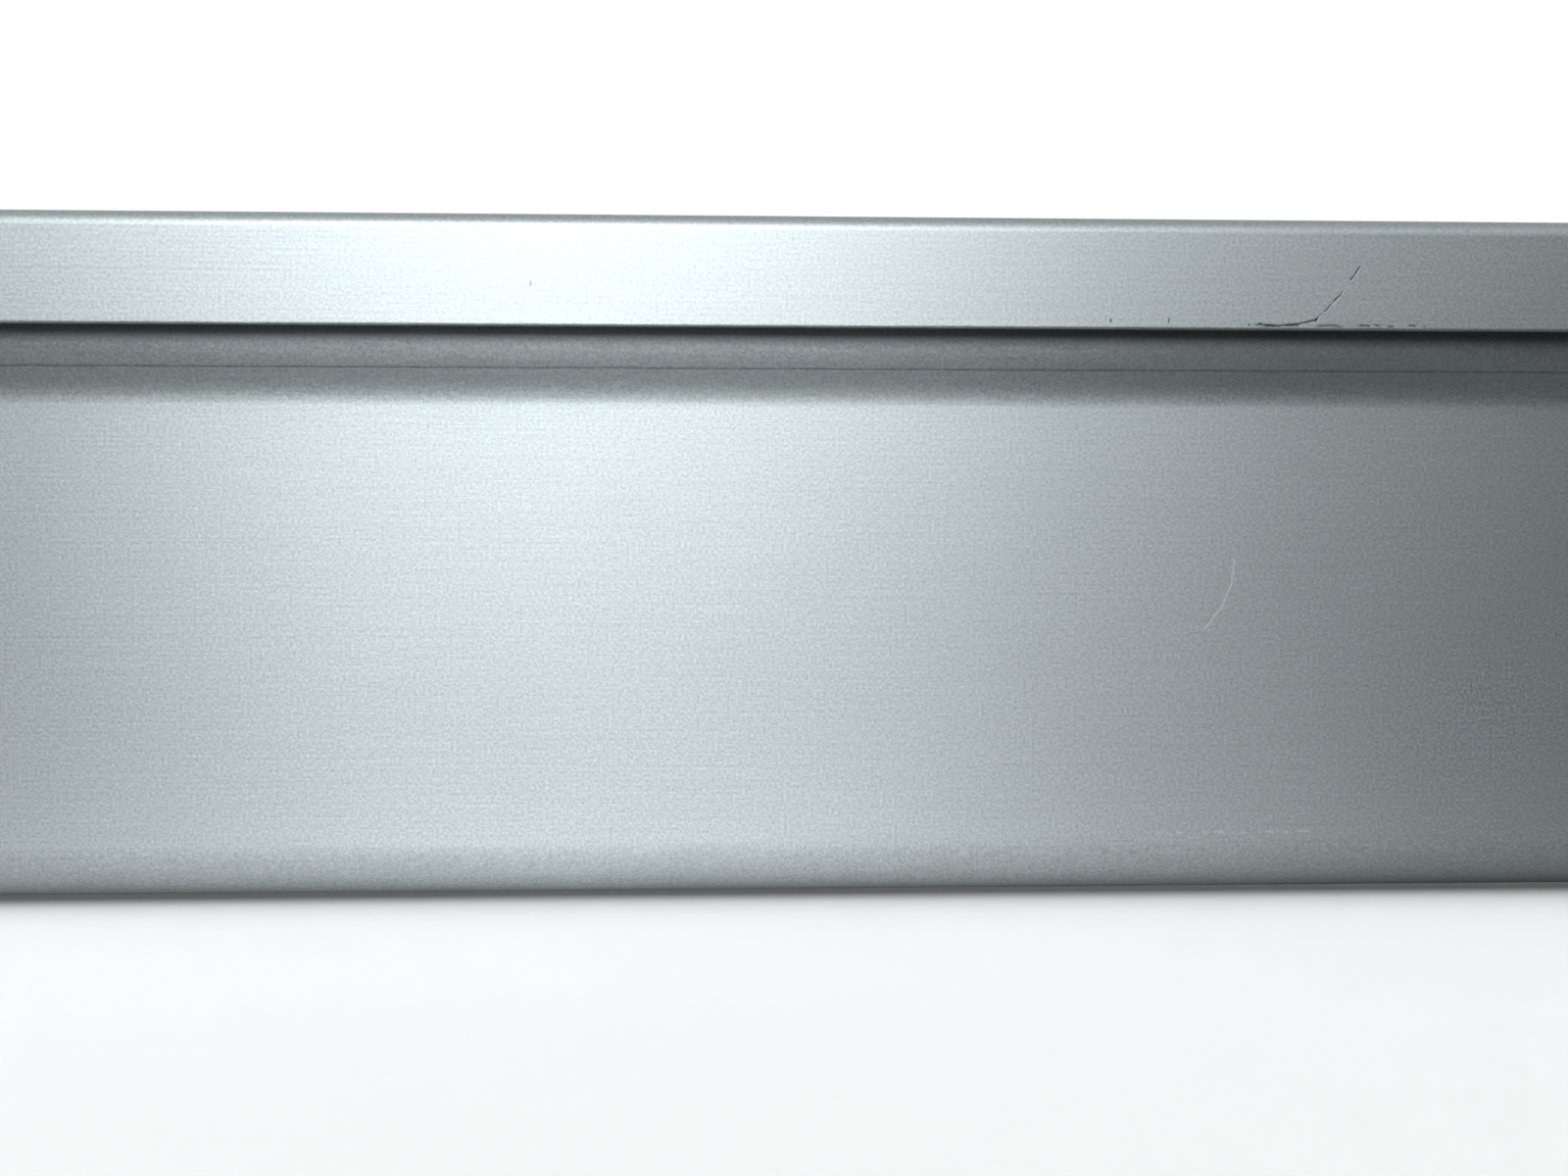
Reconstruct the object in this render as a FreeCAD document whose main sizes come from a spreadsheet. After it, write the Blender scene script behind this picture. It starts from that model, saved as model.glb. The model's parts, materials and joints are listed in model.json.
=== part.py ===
"""A rigid sterilization container: a drawn aluminium pan with a lift-off lid, gasket, filters, latches and handles.

Frame: millimetres, +Z up. The origin is at the middle of the base, on the surface that the pan stands on.
The long sides run along X. Latches, handles and label frames are on the short ends, right at +X and left at -X.
The lid lies loose on its gasket, and both latches are unsnapped, so that they lean out past their keepers.
"""

import FreeCAD, Part
import math
import os
import types

import Sketcher

V = FreeCAD.Vector
Constraint = Sketcher.Constraint

DRIVING = {
    # pan
    "pan_length": 560,  # outside of the walls, along X
    "pan_width": 260,  # outside of the walls, along Y
    "wall_corner": 24,  # outer radius of the upright corners
    "pan_sheet": 2,
    "base_radius": 14,  # outer radius from wall to base
    "base_land": 26,  # from the wall's outside to the raised middle of the base
    "base_corner": 20,  # radius of the raised middle's corners
    "base_rise": 1.5,  # how far the middle of the base is raised
    "rim_top": 140,  # height of the rim's edge
    "rim_height": 19,  # from the rim's edge down to the sloping shoulder
    "rim_step": 6,  # how far the rim stands outside the wall
    "shoulder_height": 8,  # height of the shoulder between the wall's plane and the rim's
    "flare_bend": 19.5,  # outer radius under the shoulder
    "bead_bend": 10,  # outer radius over the shoulder
    # lid
    "lid_sheet": 2,
    "skirt_gap": 2,  # from the rim to the inside of the skirt
    "skirt_height": 24,
    "lid_rise": 10,  # from the rim's edge up to the lid's border
    "lid_edge": 4,  # outer radius round the top
    "border": 22,  # width of the flat border
    "panel_drop": 3,  # depth of the panel under the border
    "panel_bend": 3,  # outer bends of the slope round the panel
    "field_spacing": 270,  # between the two vented fields
    "field_diameter": 150,  # raised vented field
    "field_rise": 1.5,  # height of the field over the panel
    "field_bend": 2.4,  # outer bends round the field
    "vent_diameter": 4,  # steam hole
    "vent_pitch": 14,  # between the rings of steam holes
    "vent_inner": 20,  # radius of the inner ring of steam holes
    # gasket in its retaining angle
    "gasket_width": 5.4,
    "gasket_gap": 0.3,  # over the rim, and beside the skirt
    "gasket_bend": 1.4,  # radius of the lower edges
    "glue_gap": 0.2,  # between the gasket and its angle
    "angle_sheet": 1.2,
    "angle_depth": 9.5,  # height of the angle's web
    # filter cassette under each vented field
    "shank_radius": 3,  # stud where it passes the lid
    "stud_head": 8,  # radius of the stud's head
    "collar_radius": 7,  # collar under the lid
    "collar_height": 3,
    "post_radius": 4,
    "post_length": 15.9,  # from the field's underside to the post's end
    "groove_radius": 2.8,  # post at the clip's groove
    "groove_width": 2,
    "groove_height": 1,  # from the post's end to the groove
    "paper_radius": 92,
    "paper_thickness": 0.3,
    "paper_hole": 8,  # radius of the hole for the stud
    "paper_gap": 0.2,  # between the filter sheet and the lid
    "seal_width": 5,
    "seal_height": 2.3,
    "seal_inset": 1.5,  # from the filter sheet's edge to the seal
    "plate_sheet": 1,
    "plate_rim": 2,  # height of the upturned edge over the flange
    "rim_gap": 1,  # from the filter sheet's edge to the upturned edge
    "plate_flange": 8,  # width of the flange under the seal
    "dish_depth": 7,
    "dish_slope": 6,  # width of the dish's slope
    "window_width": 6,  # steam window in the plate
    "window_inner": 34,  # middle radius of the inner ring of windows
    "window_outer": 58,  # middle radius of the outer ring of windows
    "hub_radius": 16,
    "hub_height": 8,
    "post_clearance": 0.2,  # round the post
    "clip_wire": 0.75,  # radius of the clip's wire
    "clip_clearance": 0.1,  # round the clip's wire
    "clip_reach": 9,  # half the length of the clip's legs
    "clip_bend": 3,  # radius where the legs join
    "button_radius": 10,  # collar that keeps the button in its well
    "button_face": 9,  # radius of the part that is pressed
    "button_height": 4,
    "button_collar": 1,  # height of the button's collar
    "button_travel": 2,
    "button_clearance": 0.2,
    "well_depth": 4.2,  # well that the button goes into
    "well_lip": 0.8,  # height of the lip under the button's collar
    "wedge_half": 4.1,  # half the width of each wedge that spreads the clip
    "wedge_tip": 2.6,  # half the width at the wedge's tip
    "wedge_shoulder": 2.4,  # height of the wedge where it starts to narrow
    "wedge_height": 3.4,
    "wedge_place": 5,  # from the post's middle to the wedge
    "wedge_thickness": 2.5,
    # rivets
    "rivet_radius": 2,
    "rivet_fit": 0.05,  # between shank and hole
    "rivet_head": 3.6,
    "rivet_crown": 1.7,  # height of the outer head
    "rivet_dome": 1.6,  # radius round the outer head
    "rivet_foot": 3,  # radius of the inner head
    "rivet_tail": 1,  # height of the inner head
    # keeper on each end of the pan
    "hard_sheet": 2,  # keeper, bracket and lever
    "keeper_width": 84,
    "keeper_height": 22,
    "keeper_drop": 7,  # from the shoulder down to the shelf
    "shelf_reach": 10.6,  # how far the shelf stands off the wall
    "shelf_width": 64,
    "keeper_corner": 5,
    "keeper_rivet": 34,  # from the middle to the rivets
    "keeper_rivet_drop": 14,  # from the shelf down to the rivets
    "sheet_bend": 1,  # inner radius of bends in hard sheet
    # carrying handle on each end of the pan
    "pivot_drop": 16,  # from the keeper's shelf down to the pivots
    "pivot_reach": 9,  # from the wall to the pivots
    "rod_radius": 3.5,
    "rod_fit": 0.08,  # between the rod and what it passes through
    "arm_spacing": 104,
    "handle_drop": 48,  # from the pivots to the grip
    "handle_bend": 13,  # from arm to grip
    "pivot_bend": 6,  # from arm to pivot
    "pivot_length": 21,  # from the arm's middle to the pivot's end
    "knuckle_radius": 6.2,
    "knuckle_width": 12,
    "knuckle_offset": 7,  # from the arm's middle to the knuckle
    "bracket_margin": 2,  # plate on either side of the knuckle
    "bracket_half": 15,  # half the height of the plate
    "bracket_corner": 4,
    "bracket_rivet": 11,  # from the pivot's height to the rivets
    "stop_gap": 0.3,  # between the raised arm and its stop
    "stop_metal": 2.5,
    "stop_reach": 14,  # how far the stop stands off the wall
    "stop_width": 10,
    "grip_radius": 7.5,
    "grip_length": 72,
    "grip_groove": 1,  # depth of the grooves
    "grip_pitch": 8,  # between the grooves
    "grip_edge": 1.5,  # radius of the grip's ends
    # label frame on each end of the pan
    "label_width": 80,
    "label_drop": 39,  # from the pivots down to the frame's lower edge
    "label_height": 23,
    "label_sheet": 0.8,
    "label_slot": 1,  # room for the card
    "label_lip": 3,  # how far the frame folds over the card
    "card_thickness": 0.8,
    "card_gap": 0.3,  # round the card's edges
    "card_corner": 1,
    # latch on each end of the lid
    "hinge_reach": 5,  # from the skirt to the pin
    "hinge_drop": 12,  # from the lid's border down to the pin
    "pin_radius": 1.5,
    "pin_fit": 0.06,  # between the pin and its eyes
    "pin_head": 2.5,
    "pin_head_height": 1.2,
    "eye_radius": 3.6,
    "eye_half": 18,  # half the width of the lever's eye
    "eye_gap": 0.4,  # between the lever's eye and the hinge's
    "hinge_eye": 11.5,  # width of each of the hinge's eyes
    "hinge_sheet": 1,
    "hinge_width": 110,
    "hinge_plate": 15.5,  # height of the hinge's plate
    "hinge_skirt": 9.5,  # from the pin down to the plate's lower edge
    "hinge_corner": 4,
    "hinge_rivet": 37,  # from the middle to the first rivet
    "hinge_rivet_step": 10,  # from the first rivet to the second
    "hinge_rivet_drop": 5,  # from the pin down to the rivets
    "lever_width": 64,
    "lever_shoulder": 4.8,  # from the pin down to the full width
    "lip_gap": 0.3,  # between the snapped lip and the shelf
    "lip_reach": 4.2,  # how far the lip stands inside the lever
    "tab_width": 25,
    "tab_length": 11,
    "tab_flare": 5,  # how far the finger tab stands out
    "tab_corner": 3,
    "lever_corner": 5,
    "slot_width": 3.6,  # slot for a tamper-evident seal
    "slot_length": 14,
    "emboss_height": 0.7,  # pressed panel of the lever
    "emboss_margin": 8,  # from the lever's edges to the pressed panel
    "rest_lean": 7,  # how far the unsnapped lever leans out, in degrees
}
VENT_COUNTS = (8, 14, 20, 26)
WINDOW_COUNT = 8
WINDOW_SWEEP = 30
GROOVE_COUNT = 7
ENDS = {"right": 1, "left": -1}
SIDES = {"rear": 1, "front": -1}
TINY = 1e-3


class Size:
    """A number together with the expression that reads it from the sheet."""

    def __init__(self, text, now):
        self.text = text
        self.now = now

    def __add__(self, other):
        other = as_size(other)
        return Size(f"({self.text} + {other.text})", self.now + other.now)

    def __sub__(self, other):
        other = as_size(other)
        return Size(f"({self.text} - {other.text})", self.now - other.now)

    def __mul__(self, other):
        other = as_size(other)
        return Size(f"({self.text} * {other.text})", self.now * other.now)

    def __truediv__(self, other):
        other = as_size(other)
        return Size(f"({self.text} / {other.text})", self.now / other.now)

    def __radd__(self, other):
        return as_size(other) + self

    def __rsub__(self, other):
        return as_size(other) - self

    def __rmul__(self, other):
        return as_size(other) * self

    def __neg__(self):
        return -1 * self


def as_size(number):
    return number if isinstance(number, Size) else Size(f"({number})", number)


doc = FreeCAD.newDocument("sterilization_container")
sizes = doc.addObject("Spreadsheet::Sheet", "sizes")
for row, (alias, number) in enumerate(DRIVING.items(), start=1):
    sizes.set(f"A{row}", alias)
    sizes.set(f"B{row}", str(number))
    sizes.setAlias(f"B{row}", alias)
doc.recompute()

d = types.SimpleNamespace(**{alias: Size(f"sizes.{alias}", number) for alias, number in DRIVING.items()})
d.rim_start = d.rim_top - d.rim_height
d.flare_start = d.rim_start - d.shoulder_height
d.skirt_out = d.rim_step + d.skirt_gap + d.lid_sheet
d.lid_top = d.rim_top + d.lid_rise
d.skirt_bottom = d.lid_top - d.skirt_height
d.border_under = d.lid_top - d.lid_sheet
d.panel_top = d.lid_top - d.panel_drop
d.field_top = d.panel_top + d.field_rise
d.field_under = d.field_top - d.lid_sheet
d.field_place = d.field_spacing / 2
d.gasket_out = d.rim_step + d.skirt_gap - d.gasket_gap
d.gasket_in = d.gasket_out - d.gasket_width
d.gasket_bottom = d.rim_top + d.gasket_gap
d.gasket_height = d.border_under - d.angle_sheet - d.glue_gap - d.gasket_bottom
d.post_end = d.field_under - d.post_length
d.groove_bottom = d.post_end + d.groove_height
d.clip_level = d.groove_bottom + d.groove_width / 2
d.clip_offset = d.groove_radius + d.clip_clearance + d.clip_wire
d.paper_under = d.panel_top - d.lid_sheet - d.paper_gap - d.paper_thickness
d.flange_top = d.paper_under - d.seal_height
d.dish_top = d.flange_top - d.dish_depth
d.plate_radius = d.paper_radius + d.rim_gap + d.plate_sheet
d.hub_top = d.dish_top - d.plate_sheet
d.hub_bottom = d.hub_top - d.hub_height
d.well_top = d.hub_bottom + d.well_depth
d.button_top = d.well_top - d.button_travel - d.button_clearance
d.keeper_top = d.flare_start - d.keeper_drop
d.pivot_height = d.keeper_top - d.pivot_drop
d.label_bottom = d.pivot_height - d.label_drop
d.arm_place = d.arm_spacing / 2
d.knuckle_place = d.arm_place + d.knuckle_offset + d.knuckle_width / 2
d.bracket_width = d.knuckle_width + 2 * d.bracket_margin
d.pin_reach = d.skirt_out + d.hinge_reach
d.hinge_height = d.lid_top - d.hinge_drop
d.lip_bottom = d.keeper_top - 2 * d.hard_sheet - d.lip_gap - d.hinge_height

nodes = []


# Bodies and sketches


def new_body(name, x=0, z=0, turn=0, lean=0):
    """A sub-part whose own frame leans about its Y axis, is then turned about Z, and is put at x and z."""
    body = doc.addObject("PartDesign::Body", name)
    body.Label = name
    rotation = FreeCAD.Rotation(V(0, 0, 1), turn) * FreeCAD.Rotation(V(0, 1, 0), -lean)
    body.Placement = FreeCAD.Placement(V(0, 0, 0), rotation)
    body.setExpression("Placement.Base.x", as_size(x).text)
    body.setExpression("Placement.Base.z", as_size(z).text)
    nodes.append(body)
    return body


def end_body(name, end, reach=0, z=0, lean=0):
    """A sub-part of one end, in a frame whose x starts at a distance outside the pan's wall and points outwards."""
    return new_body(f"{name}_{end}", ENDS[end] * (d.pan_length / 2 + reach), z, 0 if ENDS[end] > 0 else 180, lean)


def sketch_on(body, role, lift=0, x=0, y=0):
    """An empty sketch on one of the body's origin planes, lifted along the plane's normal."""
    sketch = body.newObject("Sketcher::SketchObject", f"{body.Name}_sketch")
    sketch.AttachmentSupport = [(origin_plane(body, role), "")]
    sketch.MapMode = "FlatFace"
    for axis, size in zip("xyz", (x, y, lift)):
        sketch.setExpression(f"AttachmentOffset.Base.{axis}", as_size(size).text)
    return sketch


def origin_plane(body, role):
    return next(f for f in body.Origin.OriginFeatures if f.Role == f"{role}_Plane")


def dimension(sketch, kind, geometry, size):
    """A driving dimension on the curve or between the points that geometry names."""
    size = as_size(size)
    index = sketch.addConstraint(Constraint(kind, *geometry, size.now))
    sketch.setExpression(f"Constraints[{index}]", size.text)


def add_outline(sketch, points):
    """A closed outline of straight edges through points."""
    spots = [V(as_size(x).now, as_size(y).now, 0) for x, y in points]
    edges = [sketch.addGeometry(Part.LineSegment(a, b)) for a, b in zip(spots, spots[1:] + spots[:1])]
    for edge, after in zip(edges, edges[1:] + edges[:1]):
        sketch.addConstraint(Constraint("Coincident", edge, 2, after, 1))
    for edge, (x, y) in zip(edges, points):
        dimension(sketch, "DistanceX", (-1, 1, edge, 1), x)
        dimension(sketch, "DistanceY", (-1, 1, edge, 1), y)
    return sketch


def add_box(sketch, x_low, x_high, y_low, y_high):
    return add_outline(sketch, [(x_low, y_low), (x_high, y_low), (x_high, y_high), (x_low, y_high)])


def add_circle(sketch, x, y, radius):
    x, y, radius = as_size(x), as_size(y), as_size(radius)
    circle = sketch.addGeometry(Part.Circle(V(x.now, y.now, 0), V(0, 0, 1), radius.now))
    dimension(sketch, "DistanceX", (-1, 1, circle, 3), x)
    dimension(sketch, "DistanceY", (-1, 1, circle, 3), y)
    dimension(sketch, "Radius", (circle,), radius)
    return sketch


def add_bent_path(sketch, corners, radii, closed=False):
    """A path of level and upright lines, with a round bend of its own radius at every corner between them."""
    spots = [V(as_size(x).now, as_size(y).now, 0) for x, y in corners]
    count = len(spots)
    legs = [(n, (n + 1) % count) for n in range(count if closed else count - 1)]
    bends = range(count) if closed else range(1, count - 1)
    radius_at = dict(zip(bends, radii))
    lines = {}
    for start, stop in legs:
        along = (spots[stop] - spots[start]).normalize()
        a = spots[start] + along * radius_at[start].now if start in bends else spots[start]
        b = spots[stop] - along * radius_at[stop].now if stop in bends else spots[stop]
        lines[start] = sketch.addGeometry(Part.LineSegment(a, b))
        level = abs(along.y) < TINY
        sketch.addConstraint(Constraint("Horizontal" if level else "Vertical", lines[start]))
    arcs = {}
    for bend in bends:
        before, after = lines[(bend - 1) % count], lines[bend]
        a, b = sketch.Geometry[before].EndPoint, sketch.Geometry[after].StartPoint
        centre = a + b - spots[bend]
        turning = (a - centre).cross(b - centre).z
        middle = centre + (spots[bend] - centre).normalize() * radius_at[bend].now
        arcs[bend] = sketch.addGeometry(Part.Arc(a, middle, b))
        first, last = (1, 2) if turning > 0 else (2, 1)
        sketch.addConstraint(Constraint("Tangent", before, 2, arcs[bend], first))
        sketch.addConstraint(Constraint("Tangent", arcs[bend], last, after, 1))
        dimension(sketch, "Radius", (arcs[bend],), radius_at[bend])
    for start, stop in legs:
        level = abs(spots[start].y - spots[stop].y) < TINY
        kind, size = ("DistanceY", corners[start][1]) if level else ("DistanceX", corners[start][0])
        dimension(sketch, kind, (-1, 1, lines[start], 1), size)
    if not closed:
        tips = ((lines[0], 1, corners[0], legs[0]), (lines[count - 2], 2, corners[-1], legs[-1]))
        for line, end, corner, leg in tips:
            level = abs(spots[leg[0]].y - spots[leg[1]].y) < TINY
            kind, size = ("DistanceX", corner[0]) if level else ("DistanceY", corner[1])
            dimension(sketch, kind, (-1, 1, line, end), size)
    return sketch


def add_round_box(sketch, x_low, x_high, y_low, y_high, radius):
    corners = [(x_low, y_low), (x_high, y_low), (x_high, y_high), (x_low, y_high)]
    return add_bent_path(sketch, corners, [as_size(radius)] * 4, closed=True)


def add_wall_line(sketch, grow, corner=None):
    """The pan's plan outline, moved outwards by grow."""
    far_x, far_y = d.pan_length / 2 + grow, d.pan_width / 2 + grow
    return add_round_box(sketch, -far_x, far_x, -far_y, far_y, corner or d.wall_corner + grow)


# Features


def add_feature(body, kind, **values):
    """A feature that becomes the body's tip. Sizes are bound to it, and other values are set."""
    feature = body.newObject(f"PartDesign::{kind}", f"{body.Name}_{kind.lower()}")
    for name, wanted in values.items():
        if isinstance(wanted, Size):
            feature.setExpression(name, wanted.text)
        else:
            setattr(feature, name, wanted)
    body.Tip = feature
    doc.recompute()
    return feature


def pad(body, sketch, length, symmetric=False):
    side = "Symmetric" if symmetric else "One side"
    return add_feature(body, "Pad", Profile=sketch, SideType=side, Length=as_size(length))


def pocket(body, sketch, depth, symmetric=False, reverse=False):
    """Cuts against the sketch's normal, or along it when reversed."""
    side = "Symmetric" if symmetric else "One side"
    return add_feature(body, "Pocket", Profile=sketch, SideType=side, Reversed=reverse, Length=as_size(depth))


def loft(body, lower, upper, kind="Additive"):
    return add_feature(body, f"{kind}Loft", Profile=lower, Sections=[upper], Ruled=True)


def revolve(body, sketch, axis="V_Axis"):
    return add_feature(body, "Revolution", Profile=sketch, ReferenceAxis=(sketch, [axis]), Angle=360)


def pipe(body, profile, spine):
    edges = [f"Edge{n + 1}" for n in range(len(spine.Shape.Edges))]
    return add_feature(body, "AdditivePipe", Profile=profile, Spine=(spine, edges))


def mirror(body, feature, role):
    return add_feature(body, "Mirrored", Originals=[feature], MirrorPlane=(origin_plane(body, role), [""]))


def ring_of(body, feature, sketch, count):
    """Repeats a feature evenly round its sketch's origin."""
    return add_feature(body, "PolarPattern", Originals=[feature], Axis=(sketch, ["N_Axis"]), Angle=360,
                       Occurrences=count)


def fillet(body, radius, wanted):
    """Rounds those edges of the body's last feature that pass a test of their middle point and their box."""
    base = body.Tip
    names = []
    for n, edge in enumerate(base.Shape.Edges, start=1):
        middle = edge.valueAt((edge.FirstParameter + edge.LastParameter) / 2)
        if wanted(middle, edge.BoundBox):
            names.append(f"Edge{n}")
    if not names:
        raise RuntimeError(f"{body.Label} has no edge to round")
    return add_feature(body, "Fillet", Base=(base, names), Radius=as_size(radius))


def hollow(body, sheet, open_height):
    """Leaves a sheet under the body's outside, open at the flat face at a height."""
    faces = enumerate(body.Tip.Shape.Faces, start=1)
    opening = next(n for n, f in faces if f.BoundBox.ZLength < TINY and near(f.BoundBox.ZMin, open_height))
    return add_feature(body, "Thickness", Base=(body.Tip, [f"Face{opening}"]), Mode="Skin", Join="Intersection",
                       Reversed=True, Value=sheet)


def near(number, size):
    return abs(number - as_size(size).now) < TINY


def level_at(height):
    """A test for edges that lie flat at one height."""
    return lambda middle, box: box.ZLength < TINY and near(middle.z, height)


def along_x(y_size, height=None):
    """A test for edges along X at either side's y, at one height or at any."""
    return lambda middle, box: (box.YLength < TINY and box.ZLength < TINY and near(abs(middle.y), y_size)
                                and (height is None or near(middle.z, height)))


def along_y(x, height):
    """A test for edges along Y at one x and height."""
    return lambda middle, box: (box.XLength < TINY and box.ZLength < TINY and near(middle.x, x)
                                and near(middle.z, height))


# Places that two sub-parts share


def pan_rivet_places():
    """Where the rivets pass each end of the pan: y and height."""
    return keeper_rivet_places() + bracket_rivet_places(1) + bracket_rivet_places(-1)


def keeper_rivet_places():
    return [(sign * d.keeper_rivet, d.keeper_top - d.keeper_rivet_drop) for sign in (1, -1)]


def bracket_rivet_places(side):
    return [(side * d.knuckle_place, d.pivot_height + sign * d.bracket_rivet) for sign in (1, -1)]


def lid_rivet_places():
    """Where the rivets pass each end of the lid's skirt: y and height."""
    return [(sign * (d.hinge_rivet + step * d.hinge_rivet_step), d.hinge_height - d.hinge_rivet_drop)
            for sign in (1, -1) for step in (0, 1)]


def bore_rivet_holes(body, places, lift, depth):
    sketch = sketch_on(body, "YZ", lift)
    for y, height in places:
        add_circle(sketch, y, height, d.rivet_radius + d.rivet_fit)
    return pocket(body, sketch, depth, symmetric=True)


# The pan and what is fixed to it


def build_pan():
    body = new_body("pan")
    pad(body, add_wall_line(sketch_on(body, "XY"), 0), d.rim_top)
    loft(body, add_wall_line(sketch_on(body, "XY", d.flare_start), 0),
         add_wall_line(sketch_on(body, "XY", d.rim_start), d.rim_step))
    pad(body, add_wall_line(sketch_on(body, "XY", d.rim_start), d.rim_step), d.rim_top - d.rim_start)
    fillet(body, d.flare_bend, level_at(d.flare_start))
    fillet(body, d.bead_bend, level_at(d.rim_start))
    fillet(body, d.base_radius, level_at(0))
    hollow(body, d.pan_sheet, d.rim_top)
    for floor, kind in ((d.pan_sheet, "Additive"), (as_size(0), "Subtractive")):
        inner = add_wall_line(sketch_on(body, "XY", floor + d.base_rise), -d.base_land - d.base_rise,
                              d.base_corner - d.base_rise)
        loft(body, add_wall_line(sketch_on(body, "XY", floor), -d.base_land, d.base_corner), inner, kind)
    holes = bore_rivet_holes(body, pan_rivet_places(), d.pan_length / 2, 4 * d.pan_sheet)
    mirror(body, holes, "YZ")


def build_keeper(end):
    """A bent plate whose shelf catches the lever's lips."""
    body = end_body("latch_keeper", end)
    half = d.keeper_width / 2
    pad(body, add_round_box(sketch_on(body, "YZ"), -half, half, d.keeper_top - d.keeper_height, d.keeper_top,
                            d.keeper_corner), d.hard_sheet)
    half = d.shelf_width / 2
    pad(body, add_box(sketch_on(body, "YZ"), -half, half, d.keeper_top - d.hard_sheet, d.keeper_top), d.shelf_reach)
    fillet(body, d.sheet_bend, along_y(d.hard_sheet, d.keeper_top - d.hard_sheet))
    bore_rivet_holes(body, keeper_rivet_places(), 0, 4 * d.hard_sheet)


def build_bracket(end, side):
    """A riveted plate with a knuckle for the handle's pivot, and a stop that the raised handle rests against."""
    body = end_body(f"handle_bracket_{side}", end)
    sign = SIDES[side] * ENDS[end]
    place = sign * d.knuckle_place
    half = d.bracket_width / 2
    bottom, top = d.pivot_height - d.bracket_half, d.pivot_height + d.bracket_half
    pad(body, add_round_box(sketch_on(body, "YZ"), place - half, place + half, bottom, top, d.bracket_corner),
        d.hard_sheet)
    stop_end = sign * (d.knuckle_place - half - d.stop_width)
    stop_bottom = d.pivot_height + d.rod_radius + d.stop_gap
    for start, height, reach in ((place, 2 * d.stop_metal, d.hard_sheet),
                                 (stop_end + sign * d.stop_width, d.stop_metal, d.stop_reach)):
        low, high = (stop_end, start) if sign > 0 else (start, stop_end)
        pad(body, add_box(sketch_on(body, "YZ"), low, high, stop_bottom, stop_bottom + height), reach)
    knuckle = sketch_on(body, "XZ", -place)
    pad(body, add_circle(knuckle, d.pivot_reach, d.pivot_height, d.knuckle_radius), d.knuckle_width, symmetric=True)
    web = add_box(sketch_on(body, "XZ", -place), 0, d.pivot_reach, d.pivot_height - d.knuckle_radius,
                  d.pivot_height + d.knuckle_radius)
    pad(body, web, d.knuckle_width, symmetric=True)
    bore = add_circle(sketch_on(body, "XZ", -place), d.pivot_reach, d.pivot_height, d.rod_radius + d.rod_fit)
    pocket(body, bore, 2 * d.knuckle_width, symmetric=True)
    bore_rivet_holes(body, bracket_rivet_places(sign), 0, 4 * d.hard_sheet)


def build_bail(end):
    """A round rod bent to a U, whose ends turn outwards into the brackets."""
    body = end_body("handle_bail", end, d.pivot_reach, d.pivot_height)
    tip = d.arm_place + d.pivot_length
    corners = [(-tip, 0), (-d.arm_place, 0), (-d.arm_place, -d.handle_drop), (d.arm_place, -d.handle_drop),
               (d.arm_place, 0), (tip, 0)]
    radii = [d.pivot_bend, d.handle_bend, d.handle_bend, d.pivot_bend]
    spine = add_bent_path(sketch_on(body, "YZ"), corners, radii)
    doc.recompute()
    pipe(body, add_circle(sketch_on(body, "XZ", tip), 0, 0, d.rod_radius), spine)


def build_grip(end):
    """A grooved sleeve on the level part of the handle."""
    body = end_body("handle_grip", end, d.pivot_reach, d.pivot_height - d.handle_drop)
    half = d.grip_length / 2
    bottom = d.grip_radius - d.grip_groove
    points = [(-half, d.rod_radius + d.rod_fit), (half, d.rod_radius + d.rod_fit), (half, d.grip_radius)]
    for groove in range(GROOVE_COUNT):
        middle = d.grip_pitch * ((GROOVE_COUNT - 1) / 2 - groove)
        points += [(middle + d.grip_groove, d.grip_radius), (middle + d.grip_groove / 2, bottom),
                   (middle - d.grip_groove / 2, bottom), (middle - d.grip_groove, d.grip_radius)]
    points.append((-half, d.grip_radius))
    revolve(body, add_outline(sketch_on(body, "YZ"), points), "H_Axis")
    fillet(body, d.grip_edge, lambda middle, box: near(abs(middle.y), half) and box.ZLength > d.grip_radius.now)


def build_label_frame(end):
    """A sheet folded over at the top and bottom so that a card slides in, with a stop at one end."""
    body = end_body("label_frame", end)
    half, top = d.label_width / 2, d.label_bottom + d.label_height
    front, back = 2 * d.label_sheet + d.label_slot, d.label_sheet + d.label_slot
    low, high = d.label_bottom + d.label_sheet, top - d.label_sheet
    points = [(0, d.label_bottom), (front, d.label_bottom), (front, d.label_bottom + d.label_lip),
              (back, d.label_bottom + d.label_lip), (back, low), (d.label_sheet, low), (d.label_sheet, high),
              (back, high), (back, top - d.label_lip), (front, top - d.label_lip), (front, top), (0, top)]
    pad(body, add_outline(sketch_on(body, "XZ"), points), d.label_width, symmetric=True)
    pad(body, add_box(sketch_on(body, "YZ"), -half, -half + d.label_sheet, d.label_bottom, top), front)


def build_label_card(end):
    body = end_body("label_card", end, d.label_sheet + (d.label_slot - d.card_thickness) / 2)
    edge = d.label_sheet + d.card_gap
    half = d.label_width / 2
    card = add_round_box(sketch_on(body, "YZ"), -half + edge, half - d.card_gap, d.label_bottom + edge,
                         d.label_bottom + d.label_height - edge, d.card_corner)
    pad(body, card, d.card_thickness)


def build_rivets(name, end, places, inside, outside):
    """Round-headed rivets through a stack that reaches from inside to outside."""
    body = end_body(name, end)
    steps = ((inside, d.rivet_radius, outside - inside), (outside, d.rivet_head, d.rivet_crown),
             (inside - d.rivet_tail, d.rivet_foot, d.rivet_tail))
    for lift, radius, height in steps:
        sketch = sketch_on(body, "YZ", lift)
        for y, z in places:
            add_circle(sketch, y, z, radius)
        pad(body, sketch, height)
    fillet(body, d.rivet_dome, lambda middle, box: box.XLength < TINY and near(middle.x, outside + d.rivet_crown))


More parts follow.
